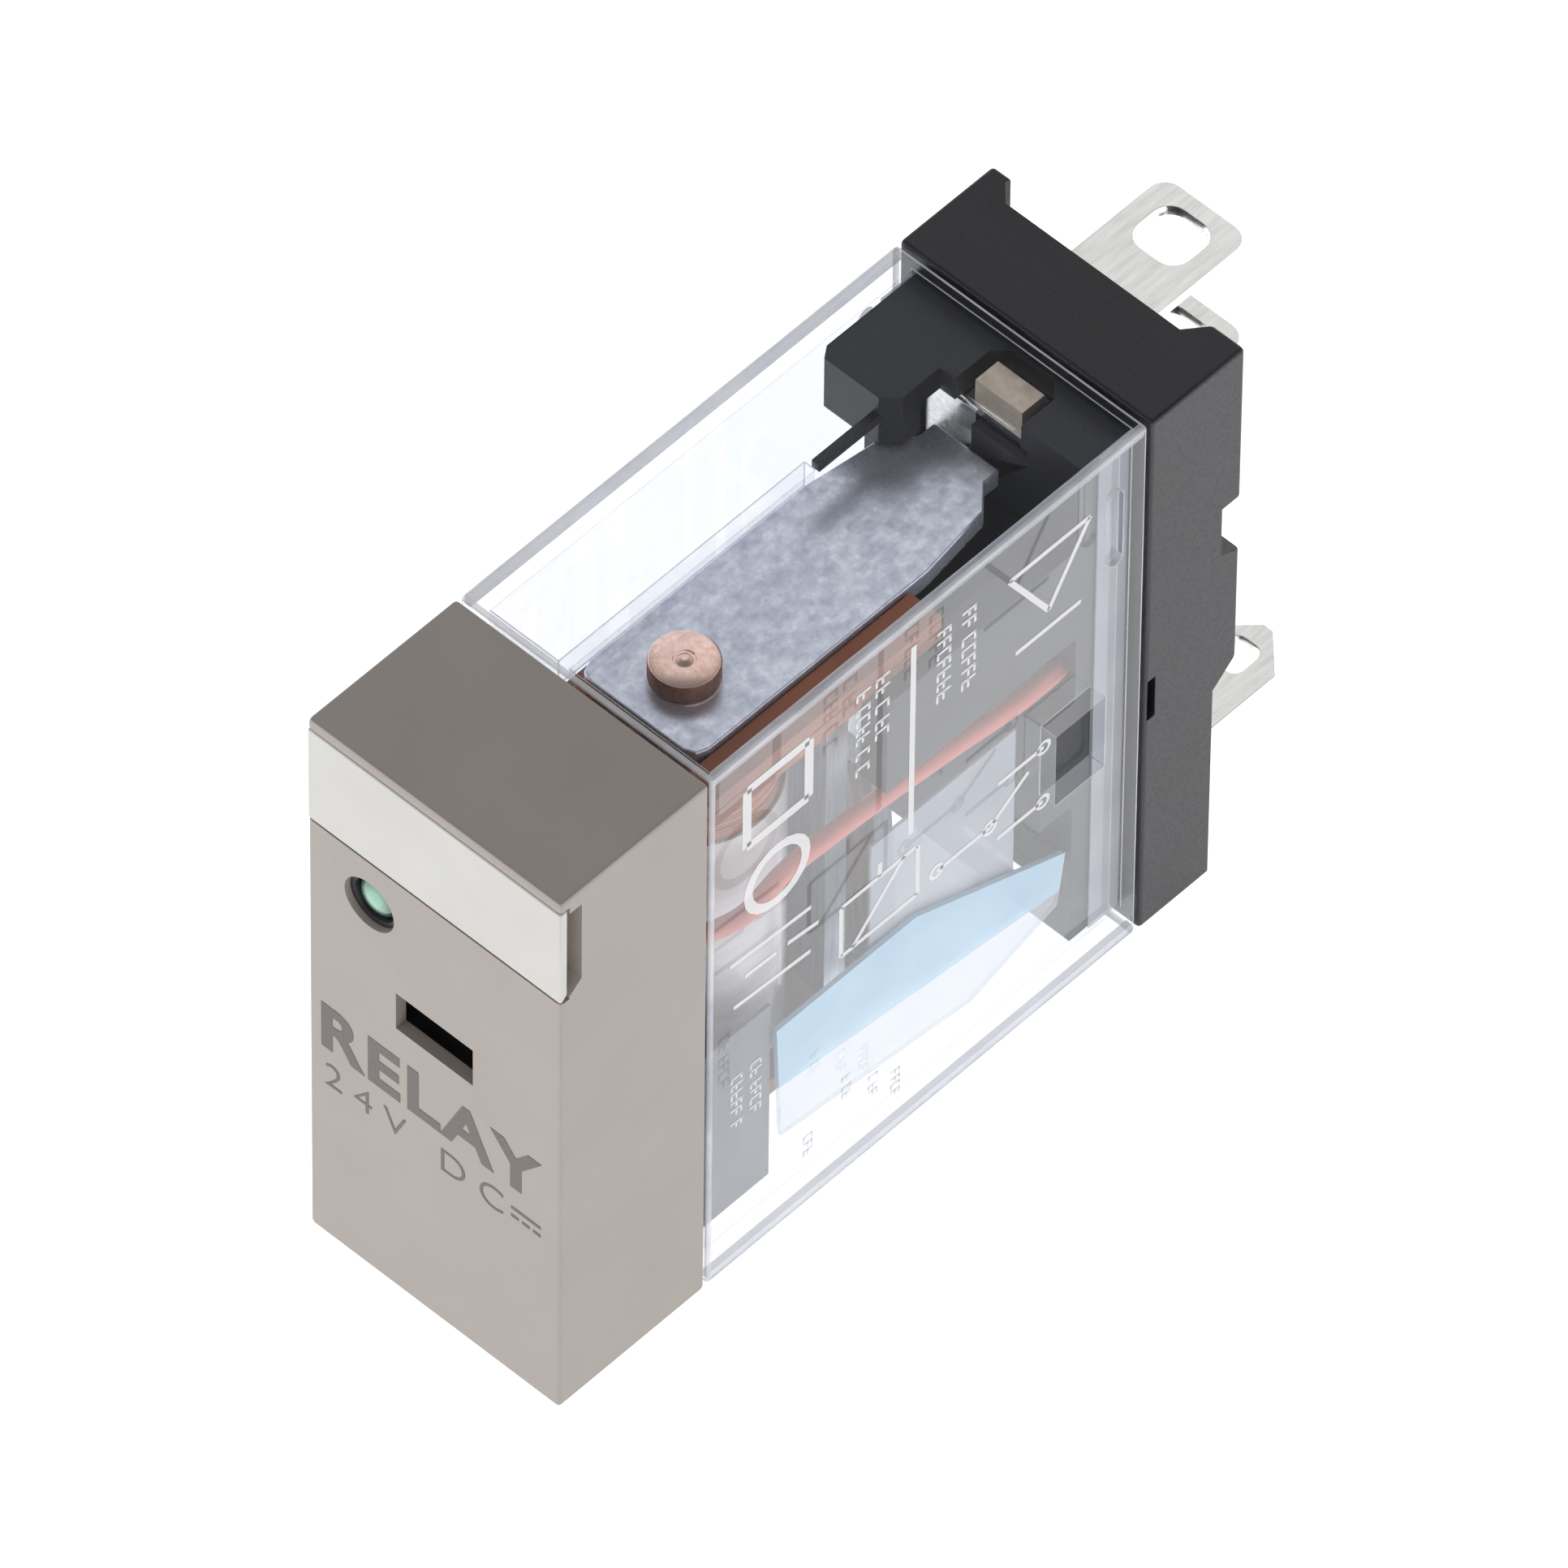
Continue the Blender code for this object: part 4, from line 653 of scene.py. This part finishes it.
# two opposite corners and the finish of each plain piece beside the coil
screens = {"coil_grey_sheet": ((4.75, 8.8, 1.2), (4.9, 12.35, 11.0), greySheet),
           "contact_screen": ((4.7, 17.6, 6.0), (4.85, 25.2, 15.2), frostedFilm),
           "bobbin_ledge": ((3.02, 17.25, 23.45), (4.6, 21.4, 24.0), phenolicBrown),
           "bobbin_lip": ((3.02, 8.95, 24.04), (4.6, 21.4, 24.75), phenolicBrown)}
screenEdge = 0.04


def makeScreens():
    # a thin grey sheet beside the coil, a thin insulating screen beside the contacts, and the bobbin's ledge
    # and lip by the plate
    for name, (low, high, finish) in screens.items():
        bm = bmesh.new()
        addBar(bm, at(*low), at(*high))
        bevelEdges(bm, screenEdge, 2)
        toObject(name, bm, finish, "housing")


makeScreens()

coil = {"centre": (0, 12.9, 0), "inner": 2.38, "outer": 3.55, "low": 5.6, "high": 23.1, "turns": 58,
        "groove": 0.06, "steps": 72}
tape = {"inner": 3.63, "outer": 3.73, "low": 6.0, "high": 19.8, "round": 0.03, "lap": 0.08, "steps": 96}


def makeWinding():
    inner, outer, low, high = (coil[key] for key in ("inner", "outer", "low", "high"))
    pitch, valley = (high - low) / coil["turns"], outer - coil["groove"]
    profile = [(inner, high)]
    for turn in range(coil["turns"]):
        top = high - turn * pitch
        profile += [(valley, top - 0.02), (outer, top - pitch * 0.3), (outer, top - pitch * 0.7)]
    profile += [(valley, low), (inner, low), (inner, high)]
    bm = spunShape(profile, coil["centre"], coil["steps"])
    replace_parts(toObject("winding_piece", bm, wireEnamel, "housing", 60), "winding")


def makeTapeWrap():
    inner, outer, low, high = (tape[key] for key in ("inner", "outer", "low", "high"))
    crest, lap = outer - tape["round"], tape["lap"]
    profile = [(inner, high), (crest, high), (outer, high - lap),
               (outer, low + lap), (crest, low), (inner, low), (inner, high)]
    bm = spunShape(profile, coil["centre"], tape["steps"])
    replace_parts(toObject("coil_tape_piece", bm, coilTape, "housing"), "coil_tape")


rivet = {"top": 25.95, "plateTop": 25.0, "plateLow": 24.1, "radius": 1.35, "neck": 1.1, "shank": 1.6,
         "pole": 2.5, "poleTop": 4.6, "poleFace": 3.9, "poleEdge": 0.05, "gap": 0.06,
         "markInner": 0.26, "markOuter": 0.4, "markDepth": 0.05}


def makeCore():
    top, radius, neck, shank, pole = (rivet[key] for key in ("top", "radius", "neck", "shank", "pole"))
    inner, outer, sunk, gap = (rivet[key] for key in ("markInner", "markOuter", "markDepth", "gap"))
    onPlate, underPlate = rivet["plateTop"] + gap, rivet["plateLow"] - gap
    poleTop, face, edge = rivet["poleTop"], rivet["poleFace"], rivet["poleEdge"]
    head = [(0, top - 0.01), (inner - 0.04, top - 0.01), (inner, top - sunk), (outer, top - sunk),
            (outer + 0.04, top), (radius - 0.1, top - 0.005), (radius - 0.03, top - 0.03),
            (radius, top - 0.1), (radius, onPlate + 0.04), (radius - 0.03, onPlate)]
    rod = [(neck, onPlate), (neck, underPlate), (shank, underPlate), (shank, poleTop)]
    poleShoe = [(pole - edge, poleTop), (pole, poleTop - edge), (pole, face + edge),
                (pole - edge, face), (0, face)]
    bm = spunShape(head + rod + poleShoe, coil["centre"], coil["steps"])
    for side in bm.faces:  # the side of the head is rougher than its struck top, and darker as painted shade
        if abs(side.normal.z) < 0.4 and side.calc_center_median().z > rivet["plateTop"] * mm:
            side.material_index = 1
    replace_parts(toObject("core_piece", bm, [copperIron, copperShadedSide], "housing"), "core")


makeWinding()
makeTapeWrap()
makeCore()
refine("return_spring", springBronze, 0.03, 2)
refine("spring_rivet", copperIron, 0.05, 2)
print("magnet system done")

# card, contacts and indicator

refine("actuator_card", nylonNatural, 0.08, 2)
refine("moving_spring", springBronze, 0.03, 2)
for contact in ("moving_contact", "nc_contact", "no_contact"):
    refine(contact, silverAlloy, 0.06, 2)
refine("indicator_flag", oliveAcetal, 0.08, 2)

# lamp board, wiring and film

refine("led_board", solderMask, 0.03, 1)
# marks are the two sides of each colour band, counted from one end
resistorSizes = {"centre": (1.6, 2.25, 24.4), "radius": 0.65, "length": 3.4, "lead": 0.2,
                 "leadReach": 0.6, "steps": 32, "marks": (0.55, 0.8, 1.15, 1.4, 1.75, 2.0, 2.6, 2.85)}


def makeResistor():
    half, radius = resistorSizes["length"] / 2, resistorSizes["radius"]
    reach, thin = half + resistorSizes["leadReach"], resistorSizes["lead"]
    marks, waist, shoulder = resistorSizes["marks"], radius * 0.93, radius * 0.8
    profile = [(0, reach), (thin, reach), (thin, half - 0.05), (shoulder, half),
               (radius, half - 0.2), (radius, half - 0.5)]
    profile += [(waist, half - mark) for mark in marks]
    profile += [(radius, -half + 0.4), (radius, -half + 0.2), (shoulder, -half),
                (thin, -half + 0.05), (thin, -reach), (0, -reach)]
    lying = Matrix.Rotation(math.pi / 2, 4, "Y")
    bm = spunShape(profile, resistorSizes["centre"], resistorSizes["steps"], lying)
    centre = at(*resistorSizes["centre"])
    for face in bm.faces:
        along = (face.calc_center_median() - centre).x / mm
        for band in range(len(bandInks)):
            if marks[2 * band] < half - along < marks[2 * band + 1]:
                face.material_index = band + 2
        if abs(along) > half - 0.01:
            face.material_index = 1
    made = toObject("resistor_piece", bm, [resistorCoat, tinPlate] + bandInks, "housing")
    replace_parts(made, "resistor")


makeResistor()
refine("suppression_diode", epoxyBlack, 0.05, 2)
refine("lamp_lead_red", sleeveRed, 0, 0, None, 80, 1)
refine("lamp_lead_black", sleeveBlack, 0, 0, None, 80, 1)
film = {"middleY": 12.83, "middleZ": 6.15, "slope": 0.13}


def makeFilmSheet():
    # the sheet is tinted above a slanted line and clear below it
    bm = mergedCopy("insulation_sheet")
    normal = Vector((0, film["slope"], 1)).normalized()
    middle = at(0, film["middleY"], film["middleZ"])
    bmesh.ops.bisect_plane(bm, geom=bm.verts[:] + bm.edges[:] + bm.faces[:], plane_co=middle, plane_no=normal,
                           dist=0.0001 * mm)
    for face in bm.faces:
        if (face.calc_center_median() - middle).dot(normal) < 0:
            face.material_index = 1
    made = toObject("insulation_sheet_piece", bm, [blueFilm, paleFilm], "housing")
    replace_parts(made, "insulation_sheet")


makeFilmSheet()
for pin in ("coil_pin_a", "coil_pin_b"):
    refine(pin, tinPlate, 0.05, 2)
for strand in ("coil_wire_a", "coil_wire_b"):
    refine(strand, wireEnamel, 0, 0, None, 80, 1)
print("wiring done")

# floor, light and camera

studio = {"floorGlow": 0.92, "floorColor": "f4f4f4", "floorSize": 3.0, "floorDrop": 0.0002,
          "skyLow": 1.15, "skyHigh": 0.2, "target": (0, 0, 0.015)}
# where each soft light stands, its two sides in metres and its power in watts
softLights = {"back_softbox": ((-0.42, 0.46, 0.72), (0.5, 0.5), 0.42),
              "front_softbox": ((-0.25, -0.75, 0.35), (0.5, 0.4), 0.7)}


def makeFloor():
    # an evenly lit white table, as for catalogue work
    bm = bmesh.new()
    bmesh.ops.create_grid(bm, x_segments=2, y_segments=2, size=studio["floorSize"] / 2)
    bmesh.ops.translate(bm, vec=(0, 0, -studio["floorDrop"]), verts=bm.verts)
    mesh = bpy.data.meshes.new("studio_floor")
    bm.to_mesh(mesh)
    bm.free()
    floor = bpy.data.objects.new("studio_floor", mesh)
    bpy.context.scene.collection.objects.link(floor)
    finish, tree, shader = startMaterial("litWhiteTable", studio["floorColor"], {
        "Roughness": 0.7, "Emission Strength": studio["floorGlow"], "Emission Color": hexToLinear("ffffff")})
    finish.cycles.emission_sampling = "NONE"
    mesh.materials.append(finish)


def makeSky():
    # soft room light, brighter near the horizon than overhead
    world = bpy.data.worlds.new("studio_sky")
    bpy.context.scene.world = world
    world.use_nodes = True
    tree = world.node_tree
    tree.nodes.clear()
    coords = addNode(tree, "ShaderNodeTexCoord")
    split = addNode(tree, "ShaderNodeSeparateXYZ", {}, {"Vector": coords.outputs["Generated"]})
    level = spread(tree, split.outputs["Z"], studio["skyLow"], studio["skyHigh"], 0.0, 0.9)
    glow = addNode(tree, "ShaderNodeBackground", {"Color": hexToLinear("ffffff")}, {"Strength": level})
    addNode(tree, "ShaderNodeOutputWorld", {}, {"Surface": glow.outputs["Background"]})


def softLight(name, place, size, power):
    light = bpy.data.lights.new(name, "AREA")
    light.shape = "RECTANGLE"
    light.size, light.size_y, light.energy = size[0], size[1], power
    lit = bpy.data.objects.new(name, light)
    bpy.context.scene.collection.objects.link(lit)
    lit.location = place
    toTarget = Vector(studio["target"]) - Vector(place)
    lit.rotation_euler = toTarget.to_track_quat("-Z", "Y").to_euler()


makeFloor()
makeSky()
for name, (place, size, power) in softLights.items():
    softLight(name, place, size, power)

# angles in degrees, round the point that the camera looks at (metres); azimuth counts from the front
view = {"azimuth": 42.849, "elevation": 50.937, "roll": 0.6961, "distance": 1.127,
        "lookAt": (0.0001308, -0.0023625, 0.0144171), "lens": 720.2}


def makeCamera():
    lens = bpy.data.cameras.new("catalogue_camera")
    lens.sensor_width, lens.lens = 36, view["lens"]
    lens.clip_start, lens.clip_end = 0.01, 20
    camera = bpy.data.objects.new("catalogue_camera", lens)
    bpy.context.scene.collection.objects.link(camera)
    azimuth, elevation, roll = (math.radians(view[key]) for key in ("azimuth", "elevation", "roll"))
    outward = Vector((math.sin(azimuth) * math.cos(elevation), -math.cos(azimuth) * math.cos(elevation),
                      math.sin(elevation)))
    turn = outward.to_track_quat("Z", "Y").to_matrix() @ Matrix.Rotation(roll, 3, "Z")
    place = Vector(view["lookAt"]) + outward * view["distance"]
    camera.matrix_world = Matrix.Translation(place) @ turn.to_4x4()
    bpy.context.scene.camera = camera


makeCamera()
bpy.context.scene.view_settings.view_transform = "Standard"
print("studio done")
